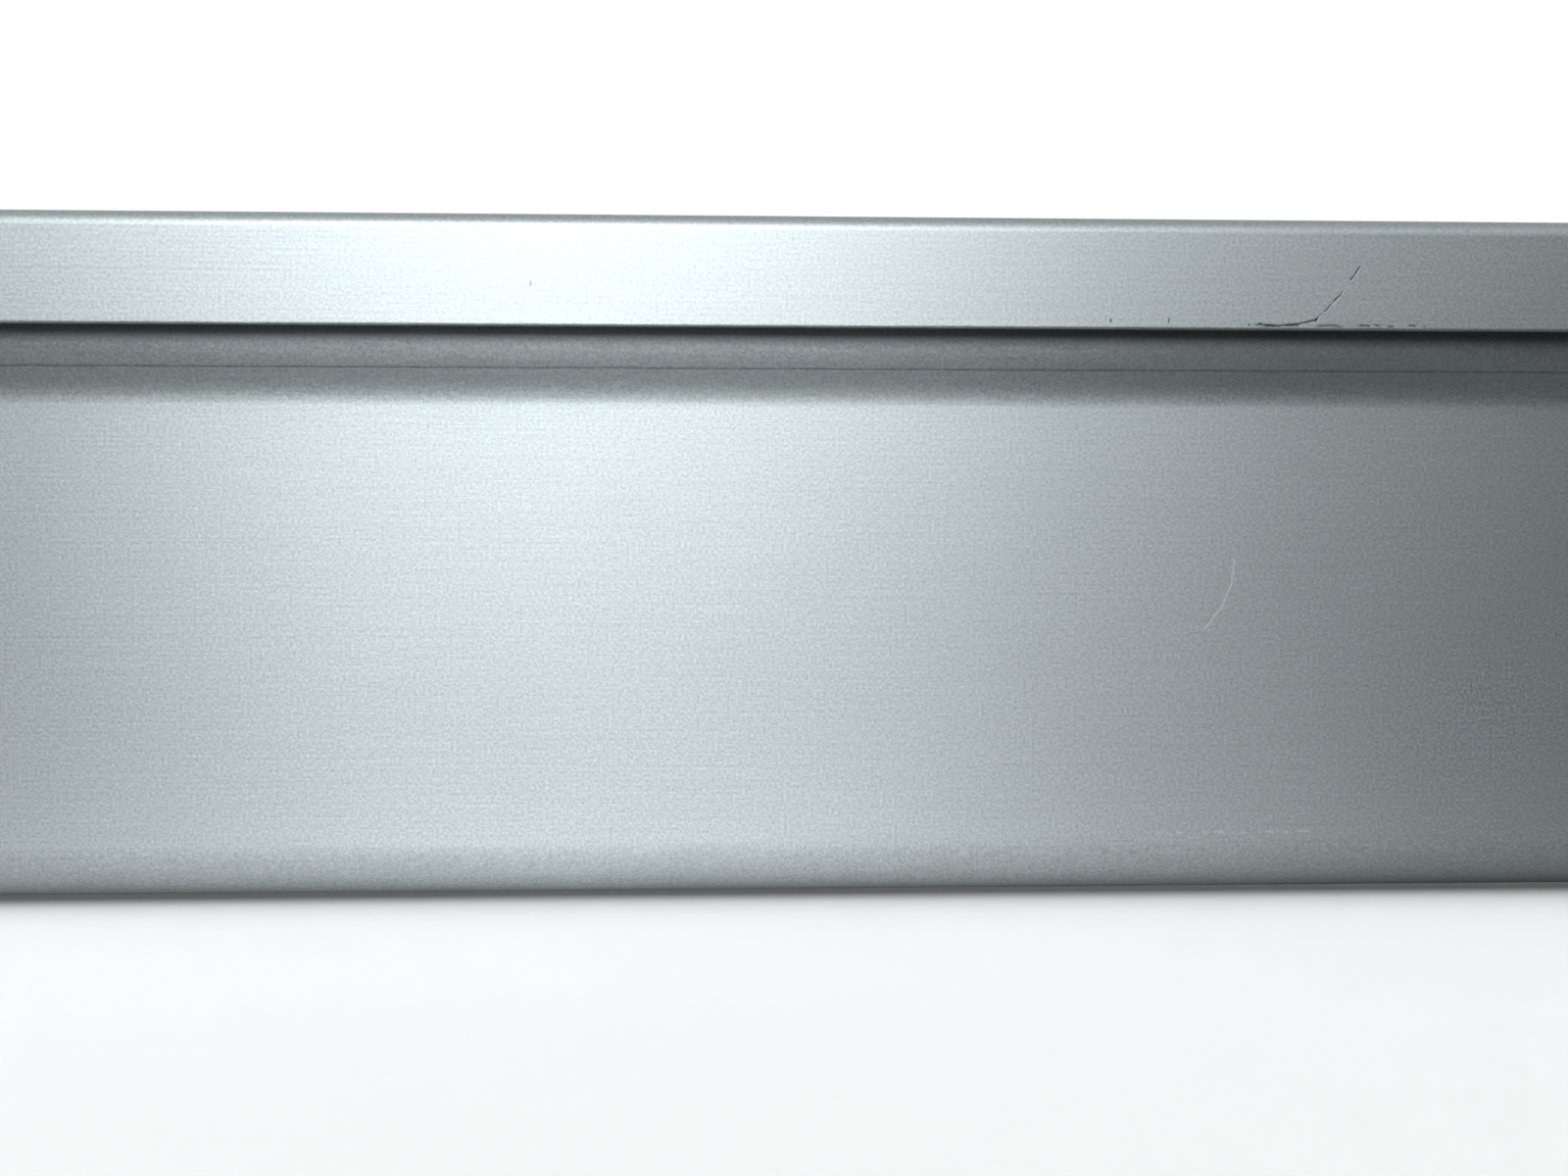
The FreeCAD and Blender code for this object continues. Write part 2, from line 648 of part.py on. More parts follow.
# The lid and what is fixed to it


def build_lid():
    body = new_body("lid")
    pad(body, add_wall_line(sketch_on(body, "XY", d.skirt_bottom), d.skirt_out), d.skirt_height)
    inset = d.skirt_out - d.border
    loft(body, add_wall_line(sketch_on(body, "XY", d.lid_top), inset),
         add_wall_line(sketch_on(body, "XY", d.panel_top), inset - d.panel_drop), "Subtractive")
    for sign in ENDS.values():
        low = add_circle(sketch_on(body, "XY", d.panel_top, sign * d.field_place), 0, 0, d.field_diameter / 2)
        high = add_circle(sketch_on(body, "XY", d.field_top, sign * d.field_place), 0, 0,
                          d.field_diameter / 2 - d.field_rise)
        loft(body, low, high)
    outside = d.pan_length / 2
    fillet(body, d.lid_edge, lambda middle, box: level_at(d.lid_top)(middle, box) and (
        abs(middle.x) > outside.now or abs(middle.y) > d.pan_width.now / 2))
    fillet(body, d.panel_bend, lambda middle, box: near(middle.z, d.lid_top) and abs(middle.y) < d.pan_width.now / 2
           and abs(middle.x) < (outside + inset).now + TINY)
    fillet(body, d.panel_bend, lambda middle, box: level_at(d.panel_top)(middle, box) and not is_field(box))
    fillet(body, d.field_bend, lambda middle, box: is_field(box) and box.ZLength < TINY)
    hollow(body, d.lid_sheet, d.skirt_bottom)
    for sign in ENDS.values():
        for ring, count in enumerate(VENT_COUNTS):
            sketch = sketch_on(body, "XY", d.lid_top, sign * d.field_place)
            add_circle(sketch, d.vent_inner + ring * d.vent_pitch, 0, d.vent_diameter / 2)
            ring_of(body, pocket(body, sketch, 2 * d.border), sketch, count)
        hole = add_circle(sketch_on(body, "XY", d.lid_top, sign * d.field_place), 0, 0, d.shank_radius + d.rivet_fit)
        pocket(body, hole, 2 * d.border)
    holes = bore_rivet_holes(body, lid_rivet_places(), d.pan_length / 2 + d.skirt_out, 4 * d.lid_sheet)
    mirror(body, holes, "YZ")


def is_field(box):
    """Whether an edge goes all the way round a vented field."""
    return min(box.XLength, box.YLength) > d.field_diameter.now / 2


def build_gasket_channel():
    """An angle under the lid's border that holds the gasket against the skirt."""
    body = new_body("gasket_channel")
    outer = d.rim_step + d.skirt_gap - d.lid_edge + d.lid_sheet - d.gasket_gap
    web_out = d.gasket_in - d.glue_gap
    web_in = web_out - d.angle_sheet
    for lift, grow, height in ((d.border_under - d.angle_sheet, outer, d.angle_sheet),
                               (d.border_under - d.angle_depth, web_out, d.angle_depth)):
        sketch = add_wall_line(sketch_on(body, "XY", lift), grow)
        pad(body, add_wall_line(sketch, web_in), height)


def build_gasket():
    body = new_body("lid_gasket")
    sketch = add_wall_line(sketch_on(body, "XY", d.gasket_bottom), d.gasket_out)
    pad(body, add_wall_line(sketch, d.gasket_in), d.gasket_height)
    fillet(body, d.gasket_bend, level_at(d.gasket_bottom))


def build_hinge(end):
    """A riveted plate with two rolled eyes that carry the latch's pin."""
    body = end_body("latch_hinge", end)
    half, low = d.hinge_width / 2, d.hinge_height - d.hinge_skirt
    plate = add_round_box(sketch_on(body, "YZ", d.skirt_out), -half, half, low, low + d.hinge_plate, d.hinge_corner)
    pad(body, plate, d.hinge_sheet)
    for sign in (1, -1):
        middle = -sign * (d.eye_half + d.eye_gap + d.hinge_eye / 2)
        top = d.hinge_height + d.eye_radius
        sketch = add_circle(sketch_on(body, "XZ", middle), d.pin_reach, d.hinge_height, d.eye_radius)
        pad(body, sketch, d.hinge_eye, symmetric=True)
        web = add_box(sketch_on(body, "XZ", middle), d.skirt_out, d.pin_reach, top - d.hard_sheet, top)
        pad(body, web, d.hinge_eye, symmetric=True)
    bore = add_circle(sketch_on(body, "XZ"), d.pin_reach, d.hinge_height, d.pin_radius + d.pin_fit)
    pocket(body, bore, 2 * d.hinge_width, symmetric=True)
    bore_rivet_holes(body, lid_rivet_places(), d.skirt_out, 4 * d.hinge_sheet)


def build_pin(end):
    body = end_body("latch_pin", end, d.pin_reach, d.hinge_height)
    half = d.eye_half + d.eye_gap + d.hinge_eye + d.eye_gap
    pad(body, add_circle(sketch_on(body, "XZ"), 0, 0, d.pin_radius), 2 * half, symmetric=True)
    for lift in (half, -half - d.pin_head_height):
        pad(body, add_circle(sketch_on(body, "XZ", lift), 0, 0, d.pin_head), d.pin_head_height)


def build_lever(end):
    """The latch: a plate that hangs from the pin, with two lips to hook and a tab for the finger."""
    body = end_body("latch_lever", end, d.pin_reach, d.hinge_height, DRIVING["rest_lean"])
    inside, outside = -d.eye_radius, d.hard_sheet - d.eye_radius
    half, neck, tab = d.lever_width / 2, d.eye_half, d.tab_width / 2
    bottom = d.lip_bottom
    pad(body, add_circle(sketch_on(body, "XZ"), 0, 0, d.eye_radius), 2 * neck, symmetric=True)
    pad(body, add_box(sketch_on(body, "YZ", inside), -half, half, bottom, -d.lever_shoulder), d.hard_sheet)
    fillet(body, d.lever_corner, along_x(half, -d.lever_shoulder))
    pad(body, add_box(sketch_on(body, "YZ", inside), -neck, neck, -d.lever_shoulder - d.hard_sheet, 0), d.hard_sheet)
    for low, high in ((tab, half), (-half, -tab)):
        lip = add_box(sketch_on(body, "YZ", outside), low, high, bottom, bottom + d.hard_sheet)
        add_feature(body, "Pad", Profile=lip, Reversed=True, Length=d.hard_sheet + d.lip_reach)
    fillet(body, d.sheet_bend, along_y(inside, bottom + d.hard_sheet))
    points = [(inside, bottom + d.lever_corner), (outside, bottom + d.lever_corner), (outside, bottom),
              (outside + d.tab_flare, bottom - d.tab_length), (inside + d.tab_flare, bottom - d.tab_length),
              (inside, bottom)]
    pad(body, add_outline(sketch_on(body, "XZ"), points), d.tab_width, symmetric=True)
    fillet(body, d.tab_corner, along_x(tab, bottom - d.tab_length))
    side, low, high = half - d.emboss_margin, bottom + d.emboss_margin, -d.lever_shoulder - d.emboss_margin
    raised = add_round_box(sketch_on(body, "YZ", outside), -side, side, low, high, d.lever_corner)
    pad(body, raised, d.emboss_height)
    edge = d.emboss_height
    pressed = add_round_box(sketch_on(body, "YZ", inside), edge - side, side - edge, low + edge, high - edge,
                            d.lever_corner - edge)
    pocket(body, pressed, d.emboss_height, reverse=True)
    middle = (low + high) / 2
    slot = add_box(sketch_on(body, "YZ"), -d.slot_length / 2, d.slot_length / 2, middle - d.slot_width / 2,
                   middle + d.slot_width / 2)
    pocket(body, slot, 4 * d.eye_radius, symmetric=True)
    pocket(body, add_circle(sketch_on(body, "XZ"), 0, 0, d.pin_radius + d.pin_fit), 4 * neck, symmetric=True)


# The filter cassettes under the vented fields


def cassette_body(name, end, z=0):
    return new_body(f"{name}_{end}", ENDS[end] * d.field_place, z)


def add_ring(sketch, inner, outer):
    return add_circle(add_circle(sketch, 0, 0, inner), 0, 0, outer)


def build_stud(end):
    """A stud fixed through the lid, whose grooved post carries the filter plate."""
    body = cassette_body("filter_stud", end)
    collar_end = d.field_under - d.collar_height
    groove_top = d.groove_bottom + d.groove_width
    points = [(0, d.post_end), (d.post_radius, d.post_end), (d.post_radius, d.groove_bottom),
              (d.groove_radius, d.groove_bottom), (d.groove_radius, groove_top), (d.post_radius, groove_top),
              (d.post_radius, collar_end), (d.collar_radius, collar_end), (d.collar_radius, d.field_under),
              (d.shank_radius, d.field_under), (d.shank_radius, d.field_top), (d.stud_head, d.field_top),
              (d.stud_head, d.lid_top), (0, d.lid_top)]
    revolve(body, add_outline(sketch_on(body, "XZ"), points))


def build_paper(end):
    body = cassette_body("filter_sheet", end)
    pad(body, add_ring(sketch_on(body, "XY", d.paper_under), d.paper_hole, d.paper_radius), d.paper_thickness)


def build_seal(end):
    body = cassette_body("filter_seal", end)
    outer = d.paper_radius - d.seal_inset
    pad(body, add_ring(sketch_on(body, "XY", d.flange_top), outer - d.seal_width, outer), d.seal_height)


def build_plate(end):
    """A dished plate with an upturned edge and two rings of curved windows."""
    body = cassette_body("filter_plate", end)
    sheet, radius = d.plate_sheet, d.plate_radius
    flange_in = radius - sheet - d.plate_flange
    dish_out = flange_in - d.dish_slope
    hole = d.post_radius + d.post_clearance
    rim = d.flange_top + d.plate_rim
    points = [(hole, d.hub_top), (dish_out, d.hub_top), (flange_in, d.flange_top - sheet),
              (radius, d.flange_top - sheet), (radius, rim), (radius - sheet, rim), (radius - sheet, d.flange_top),
              (flange_in - sheet / 2, d.flange_top), (dish_out - sheet / 2, d.dish_top), (hole, d.dish_top)]
    revolve(body, add_outline(sketch_on(body, "XZ"), points))
    for middle in (d.window_inner, d.window_outer):
        sketch = sketch_on(body, "XY", d.flange_top)
        add_arc_slot(sketch, middle - d.window_width / 2, middle + d.window_width / 2, WINDOW_SWEEP)
        ring_of(body, pocket(body, sketch, 2 * d.dish_depth), sketch, WINDOW_COUNT)


def add_arc_slot(sketch, inner, outer, sweep):
    """A curved slot round the sketch's origin, half to either side of its first axis."""
    half = math.radians(sweep / 2)
    arcs = [sketch.addGeometry(Part.ArcOfCircle(Part.Circle(V(0, 0, 0), V(0, 0, 1), r.now), -half, half))
            for r in (inner, outer)]
    ends = [V(math.cos(half), sign * math.sin(half), 0) for sign in (-1, 1)]
    lines = [sketch.addGeometry(Part.LineSegment(end * inner.now, end * outer.now)) for end in ends]
    for arc, radius in zip(arcs, (inner, outer)):
        sketch.addConstraint(Constraint("Coincident", arc, 3, -1, 1))
        dimension(sketch, "Radius", (arc,), radius)
    for number, line in enumerate(lines, start=1):
        sketch.addConstraint(Constraint("Coincident", line, 1, arcs[0], number))
        sketch.addConstraint(Constraint("Coincident", line, 2, arcs[1], number))
        sketch.addConstraint(Constraint("Angle", -1, 1, line, 1, half * (-1 if number == 1 else 1)))
    return sketch


def build_hub(end):
    """A moulded hub under the plate, with a well for the button and room for the clip."""
    body = cassette_body("filter_hub", end)
    bore = d.post_radius + d.post_clearance
    well = d.button_radius + d.button_clearance
    mouth = d.button_face + d.button_clearance
    lip = d.hub_bottom + d.well_lip
    points = [(bore, d.hub_top), (bore, d.well_top), (well, d.well_top), (well, lip), (mouth, lip),
              (mouth, d.hub_bottom), (d.hub_radius, d.hub_bottom), (d.hub_radius, d.hub_top)]
    revolve(body, add_outline(sketch_on(body, "XZ"), points))
    room = d.clip_wire + d.clip_clearance
    side, start, stop = d.clip_offset + room, -d.clip_reach - room, d.clip_reach + d.clip_bend + 2 * room
    pocket(body, add_box(sketch_on(body, "XY", d.hub_top), -side, side, start, stop), d.hub_top - d.clip_level + room)
    slots = sketch_on(body, "XY", d.well_top)
    gap, width = d.button_clearance, d.wedge_half + d.button_clearance
    near_y, far_y = d.wedge_place - gap, d.wedge_place + d.wedge_thickness + gap
    add_box(slots, -width, width, near_y, far_y)
    add_box(slots, -width, width, -far_y, -near_y)
    pocket(body, slots, d.hub_top - d.well_top, reverse=True)


def build_clip(end):
    """A hairpin spring whose legs sit in the post's groove."""
    body = cassette_body("filter_clip", end, d.clip_level)
    far = d.clip_reach + d.clip_bend
    corners = [(-d.clip_offset, -d.clip_reach), (-d.clip_offset, far), (d.clip_offset, far),
               (d.clip_offset, -d.clip_reach)]
    spine = add_bent_path(sketch_on(body, "XY"), corners, [d.clip_bend, d.clip_bend])
    doc.recompute()
    pipe(body, add_circle(sketch_on(body, "XZ", d.clip_reach), -d.clip_offset, 0, d.clip_wire), spine)


def build_button(end):
    """A push button whose two wedges spread the clip's legs off the post."""
    body = cassette_body("filter_button", end)
    collar, bottom = d.button_top - d.button_collar, d.button_top - d.button_height
    pad(body, add_circle(sketch_on(body, "XY", bottom), 0, 0, d.button_face), d.button_height)
    pad(body, add_circle(sketch_on(body, "XY", collar), 0, 0, d.button_radius), d.button_collar)
    shoulder, tip = d.button_top + d.wedge_shoulder, d.button_top + d.wedge_height
    points = [(-d.wedge_half, collar), (d.wedge_half, collar), (d.wedge_half, shoulder), (d.wedge_tip, tip),
              (-d.wedge_tip, tip), (-d.wedge_half, shoulder)]
    wedge = add_outline(sketch_on(body, "XZ", d.wedge_place), points)
    mirror(body, pad(body, wedge, d.wedge_thickness), "XZ")


build_pan()
build_lid()
build_gasket_channel()
build_gasket()
for this_end in ENDS:
    build_keeper(this_end)
    for this_side in SIDES:
        build_bracket(this_end, this_side)
    build_bail(this_end)
    build_grip(this_end)
    build_label_frame(this_end)
    build_label_card(this_end)
    build_rivets("pan_rivets", this_end, pan_rivet_places(), -d.pan_sheet, d.hard_sheet)
    build_hinge(this_end)
    build_pin(this_end)
    build_rivets("lid_rivets", this_end, lid_rivet_places(), d.skirt_out - d.lid_sheet, d.skirt_out + d.hinge_sheet)
    build_lever(this_end)
    build_stud(this_end)
    build_paper(this_end)
    build_seal(this_end)
    build_plate(this_end)
    build_hub(this_end)
    build_clip(this_end)
    build_button(this_end)


def export_nodes():
    """Stops if any object or shape has failed, and otherwise writes one file for each sub-part."""
    doc.recompute()
    for thing in doc.Objects:
        if "Invalid" in thing.State or "Error" in thing.State:
            raise RuntimeError(f"{thing.Name} failed: {thing.State}")
    os.makedirs("parts", exist_ok=True)
    for node in nodes:
        if node.Shape.isNull() or not node.Shape.isValid():
            raise RuntimeError(f"{node.Label} has no valid shape")
        node.Shape.exportStep(f"parts/{node.Label}.step")


export_nodes()
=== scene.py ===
"""Dresses a rigid sterilization container and sets it on a plain studio stage.

The file is laid out as an add-on and is run as a script. Lengths are in metres and +Z is up. The origin is the middle
of the container's base, and the camera looks at one long side.
"""

import json
import math

import bmesh
import bpy
from mathutils import Matrix, Vector

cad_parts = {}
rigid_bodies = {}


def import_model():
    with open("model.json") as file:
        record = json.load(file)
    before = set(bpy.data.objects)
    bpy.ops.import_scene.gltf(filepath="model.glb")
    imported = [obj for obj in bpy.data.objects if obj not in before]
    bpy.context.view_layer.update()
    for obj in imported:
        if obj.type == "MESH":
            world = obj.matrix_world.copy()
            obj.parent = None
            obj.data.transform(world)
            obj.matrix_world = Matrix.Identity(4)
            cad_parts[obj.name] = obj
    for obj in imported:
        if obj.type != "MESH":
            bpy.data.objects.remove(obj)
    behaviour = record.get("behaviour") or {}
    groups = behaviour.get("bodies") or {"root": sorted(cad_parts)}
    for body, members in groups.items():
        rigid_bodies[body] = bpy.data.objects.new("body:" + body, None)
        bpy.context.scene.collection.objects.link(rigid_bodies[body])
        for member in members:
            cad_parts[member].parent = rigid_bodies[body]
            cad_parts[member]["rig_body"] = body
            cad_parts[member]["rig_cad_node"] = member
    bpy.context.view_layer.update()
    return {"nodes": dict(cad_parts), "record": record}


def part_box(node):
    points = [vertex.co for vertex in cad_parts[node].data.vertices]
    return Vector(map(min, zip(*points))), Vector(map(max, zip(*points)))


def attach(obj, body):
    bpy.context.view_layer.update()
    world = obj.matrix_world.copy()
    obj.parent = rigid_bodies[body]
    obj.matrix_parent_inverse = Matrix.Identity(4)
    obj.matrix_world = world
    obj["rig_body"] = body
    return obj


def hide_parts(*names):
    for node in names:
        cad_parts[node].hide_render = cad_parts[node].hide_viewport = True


bl_info = {
    "name": "Sterilization container",
    "version": (1, 0, 0),
    "blender": (4, 5, 0),
    "location": "View3D > Sidebar > Container",
    "description": "Models and dresses a rigid sterilization container",
    "category": "Add Mesh",
}

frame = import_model()
BODIES = frame["record"]["behaviour"]["bodies"]
BODY_OF = {node: body for body, members in BODIES.items() for node in members}
PAN_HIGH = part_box("pan")[1]
LID_LOW, LID_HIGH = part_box("lid")
STUD_PLACE = sum(corner.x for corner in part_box("filter_stud_right")) / 2
CORNER_STEPS = 20
BEND_STEP = math.radians(11)
TINY = 1e-6
# The lid's bends, where its panel starts inside the border, the edge of its fields, and its rings of steam holes.
LID_BEND = 0.004
PANEL_BEND = 0.003
PANEL_START = 0.006
FIELD_LIP = 0.002
FIELD_RISE = 0.0015
FIELD_BEND = 0.0024
FIRST_VENTS = 0.020
VENT_SPACING = 0.014
VENT_RINGS = (8, 14, 20, 26)
VENT_SIDES = 14
FIELD_SIDES = 96
# Brush lines and grains along a metre, and how deep they are.
ALUMINIUM_GRAIN = (1500, 1500, 0.00003)
STEEL_GRAIN = (2600, 1600, 0.000008)

FLOOR_SIZE = 60
FLOOR_DROP = 0.0002
TENT_RADIUS = 2.5
FOOT_MARGIN = 0.05
FOOT_HEIGHT = 0.0005
LAMP_PLACE = (-0.5, -0.6, 1.6)
LAMP_TARGET = (0, 0, 0.07)
LAMP_SIZE = 1.6
DIFFUSE_LEVEL = 0.65

# How bright the light tent is by degrees round from the front, where right is positive, and by degrees up. It is
# brightest in front, a little to the left, at about 45 degrees up, so that the gap under the lid stays dark.
AROUND_LIGHT = ((-180, 0.05), (-130, 0.1), (-90, 0.08), (-62, 0.14), (-45, 0.16), (-32, 0.5), (-22, 0.79), (-11, 0.8),
                (0, 0.63), (12, 0.38), (24, 0.24), (36, 0.13), (50, 0.05), (75, 0.07), (90, 0.08), (130, 0.1),
                (180, 0.05))
RISING_LIGHT = ((-90, 0), (-30, 0.004), (0, 0.004), (15, 0.008), (30, 0.3), (46, 1.1), (66, 0.0), (90, 0.0))
LIGHT_LEVEL = 14.8
# The level that the tent adds at the ends and behind, and the degrees over which it comes in.
SIDE_FILL = 0.45
SIDE_FROM, SIDE_TO = 55, 85
# How bright the metal mirrors the floor round the container's foot, by metres along X. It stands in for the floor, which
# the metal doesn't mirror itself, and fades under the base between these distances outside the footprint.
FOOT_LIGHT = ((-0.5, 0.35), (-0.2, 0.42), (-0.15, 0.5), (-0.1, 0.56), (-0.05, 0.64), (0, 0.54), (0.05, 0.44),
              (0.1, 0.33), (0.15, 0.23), (0.2, 0.17), (0.5, 0.35))
FOOT_DARK, FOOT_BRIGHT = -0.014, 0.004


def length(name, description, default):
    return bpy.props.FloatProperty(name=name, description=description, default=default, min=0, unit="LENGTH",
                                   precision=4)


def colour(name, description, default):
    return bpy.props.FloatVectorProperty(name=name, description=description, default=default, size=3, min=0, max=1,
                                         subtype="COLOR")


def share(name, description, default):
    return bpy.props.FloatProperty(name=name, description=description, default=default, min=0, max=1, subtype="FACTOR")


class ContainerSizes(bpy.types.PropertyGroup):
    """Sizes of the drawn pan and lid."""

    half_length: length("Half length", "From the middle to the outside of the rim, along X", PAN_HIGH.x)
    half_width: length("Half width", "From the middle to the outside of the rim, along Y", PAN_HIGH.y)
    rim_height: length("Rim height", "From the floor to the pan's edge", PAN_HIGH.z)
    rim_step: length("Rim step", "How far the rim stands outside the wall", 0.006)
    wall_corner: length("Wall corner", "Outer radius of the wall's upright corners", 0.024)
    sheet: length("Sheet", "Thickness of the pan's and the lid's metal", 0.002)
    shoulder_drop: length("Shoulder drop", "From the rim's edge down to the corner where the shoulder starts", 0.019)
    flare_drop: length("Flare drop", "From the rim's edge down to the corner where the wall starts", 0.0266)
    bead_bend: length("Bead bend", "Outer radius where the rim turns in to the shoulder", 0.010)
    flare_bend: length("Flare bend", "Outer radius where the shoulder turns down to the wall", 0.009)
    base_bend: length("Base bend", "Outer radius from the wall to the base", 0.014)
    base_ring: length("Base ring", "From the wall to the raised middle of the base", 0.026)
    base_corner: length("Base corner", "Radius of the raised middle's corners", 0.020)
    base_rise: length("Base rise", "Height of the raised middle of the base", 0.0015)
    border: length("Border", "Width of the lid's flat border", 0.022)
    panel_drop: length("Panel drop", "Depth of the lid's panel under its border", 0.003)
    field_radius: length("Field radius", "Radius of each vented field", 0.075)
    vent_radius: length("Vent radius", "Radius of each steam hole", 0.002)
    edge_bevel: length("Edge bevel", "Width of the rounding on sheet edges", 0.0004)


class ContainerColours(bpy.types.PropertyGroup):
    """Colours and finishes of the container's materials."""

    aluminium: colour("Aluminium", "Satin anodised aluminium of the pan and lid", (0.66, 0.735, 0.755))
    stainless: colour("Stainless steel", "Bent steel of latches, handles and filter plates", (0.62, 0.63, 0.64))
    silicone: colour("Silicone", "Gaskets", (0.16, 0.17, 0.18))
    rubber: colour("Grip rubber", "Sleeves of the handles", (0.05, 0.055, 0.06))
    hub_plastic: colour("Hub plastic", "Hubs of the filter plates", (0.12, 0.13, 0.14))
    button_plastic: colour("Button plastic", "Push buttons of the filter plates", (0.1, 0.35, 0.6))
    paper: colour("Filter paper", "Filter sheets", (0.9, 0.92, 0.94))
    card: colour("Card", "Blank cards in the label frames", (0.85, 0.87, 0.88))
    roughness: share("Aluminium roughness", "How widely the satin aluminium spreads a reflection", 0.5)
    stretch: share("Stretch", "How much the aluminium stretches a reflection across its brush lines", 0.75)
    wear: share("Wear", "Strength of scratches and nicks on the aluminium", 1.0)


class ContainerStage(bpy.types.PropertyGroup):
    """Camera and light of the stage."""

    camera_place: bpy.props.FloatVectorProperty(name="Camera", description="Where the camera stands", size=3,
                                                default=(-0.0103, -0.390, 0.078), subtype="TRANSLATION",
                                                unit="LENGTH")
    camera_dip: bpy.props.FloatProperty(name="Dip", description="How far the camera looks down",
                                        default=math.radians(1.67), subtype="ANGLE")
    camera_turn: bpy.props.FloatProperty(name="Turn", description="How far the camera looks to the right",
                                         default=math.radians(1.7), subtype="ANGLE")
    lens: bpy.props.FloatProperty(name="Lens", description="Focal length of the camera", default=27.05, min=1,
                                  unit="CAMERA")
    lamp_power: bpy.props.FloatProperty(name="Lamp", description="Power of the overhead lamp", default=14, min=0,
                                        subtype="POWER", unit="POWER")
    floor: colour("Floor", "Plain pale floor", (0.92, 0.92, 0.92))


# Meshes


def start_plane(name, height):
    """Adds a unit plane at a height as a new piece, whose origin stays the container's, and leaves it in edit mode."""
    bpy.ops.object.select_all(action="DESELECT")
    bpy.ops.mesh.primitive_plane_add(size=1)
    piece = bpy.context.object
    piece.name = piece.data.name = name
    bpy.ops.object.mode_set(mode="EDIT")
    bpy.ops.transform.translate(value=(0, 0, height))
    return piece


def choose(piece, kind, wanted):
    """Selects the faces, edges or verts of the piece in edit mode that pass a test, and nothing else."""
    bpy.ops.mesh.select_mode(type={"faces": "FACE", "edges": "EDGE", "verts": "VERT"}[kind])
    bpy.ops.mesh.select_all(action="DESELECT")
    mesh = bmesh.from_edit_mesh(piece.data)
    for element in getattr(mesh, kind):
        if wanted(element):
            element.select_set(True)
    mesh.select_flush_mode()
    bmesh.update_edit_mesh(piece.data)


def round_plane(half_x, half_y, corner):
    """Turns the selected unit plane into a rounded rectangle."""
    bpy.ops.transform.resize(value=(2 * half_x, 2 * half_y, 1))
    bpy.ops.mesh.bevel(offset=corner, segments=CORNER_STEPS, affect="VERTICES", clamp_overlap=True)


def round_section(corners):
    """Points along a section whose corners, each a place outside the wall, a height and a radius, are bent round."""
    points = []
    for n, (grow, height, radius) in enumerate(corners):
        here = Vector((grow, height))
        if not radius:
            points.append(here)
            continue
        before = (Vector(corners[n - 1][:2]) - here).normalized()
        after = (Vector(corners[n + 1][:2]) - here).normalized()
        half = before.angle(after) / 2
        centre = here + (before + after).normalized() * (radius / math.sin(half))
        first = here + before * (radius / math.tan(half)) - centre
        last = here + after * (radius / math.tan(half)) - centre
        turn = math.copysign(math.pi - 2 * half, first.x * last.y - first.y * last.x)
        steps = max(2, round(abs(turn) / BEND_STEP))
        points += [centre + Matrix.Rotation(turn * step / steps, 2) @ first for step in range(steps + 1)]
    return points


def walk_section(points):
    """Carries the selected face along a section, with a fold at every point. It only ever moves inwards or level."""
    for here, there in zip(points, points[1:]):
        bpy.ops.mesh.inset(thickness=max(here.x - there.x, 0), depth=there.y - here.y, use_even_offset=True)


def open_face():
    """Takes the selected face away and leaves its edges."""
    bpy.ops.mesh.delete(type="ONLY_FACE")


def fill_between(piece, height, near):
    """Fills the flat area between the open edges at a height, where they pass a test of their middle."""
    def wanted(edge):
        middle = (edge.verts[0].co + edge.verts[1].co) / 2
        is_open = edge.is_boundary or edge.is_wire
        return is_open and all(abs(v.co.z - height) < TINY for v in edge.verts) and near(middle)

    choose(piece, "edges", wanted)
    bpy.ops.mesh.fill(use_beauty=True)


def face_outwards(piece, probe):
    """Merges doubles and points all faces the same way, so that the face nearest a probe point faces it."""
    bpy.ops.mesh.select_all(action="SELECT")
    bpy.ops.mesh.remove_doubles(threshold=TINY)
    bpy.ops.mesh.normals_make_consistent(inside=False)
    mesh = bmesh.from_edit_mesh(piece.data)
    nearest = min(mesh.faces, key=lambda face: (face.calc_center_median() - probe).length)
    if nearest.normal.dot(probe - nearest.calc_center_median()) < 0:
        bpy.ops.mesh.flip_normals()
    bpy.ops.object.mode_set(mode="OBJECT")


def add_modifier(piece, kind, **settings):
    """Adds a modifier with these settings and applies it."""
    modifier = piece.modifiers.new(kind.title(), kind)
    for name, value in settings.items():
        setattr(modifier, name, value)
    bpy.context.view_layer.objects.active = piece
    bpy.ops.object.modifier_apply(modifier=modifier.name)


def soften(piece, width, segments=2):
    """Rounds the piece's sharp edges by a small width and keeps its flat faces flat."""
    bpy.ops.object.select_all(action="DESELECT")
    piece.select_set(True)
    bpy.context.view_layer.objects.active = piece
    add_modifier(piece, "BEVEL", width=width, segments=segments, limit_method="ANGLE", angle_limit=math.radians(50),
                 miter_outer="MITER_ARC", harden_normals=False)
    bpy.ops.object.shade_smooth_by_angle(angle=math.radians(40))
    add_modifier(piece, "WEIGHTED_NORMAL", keep_sharp=True)


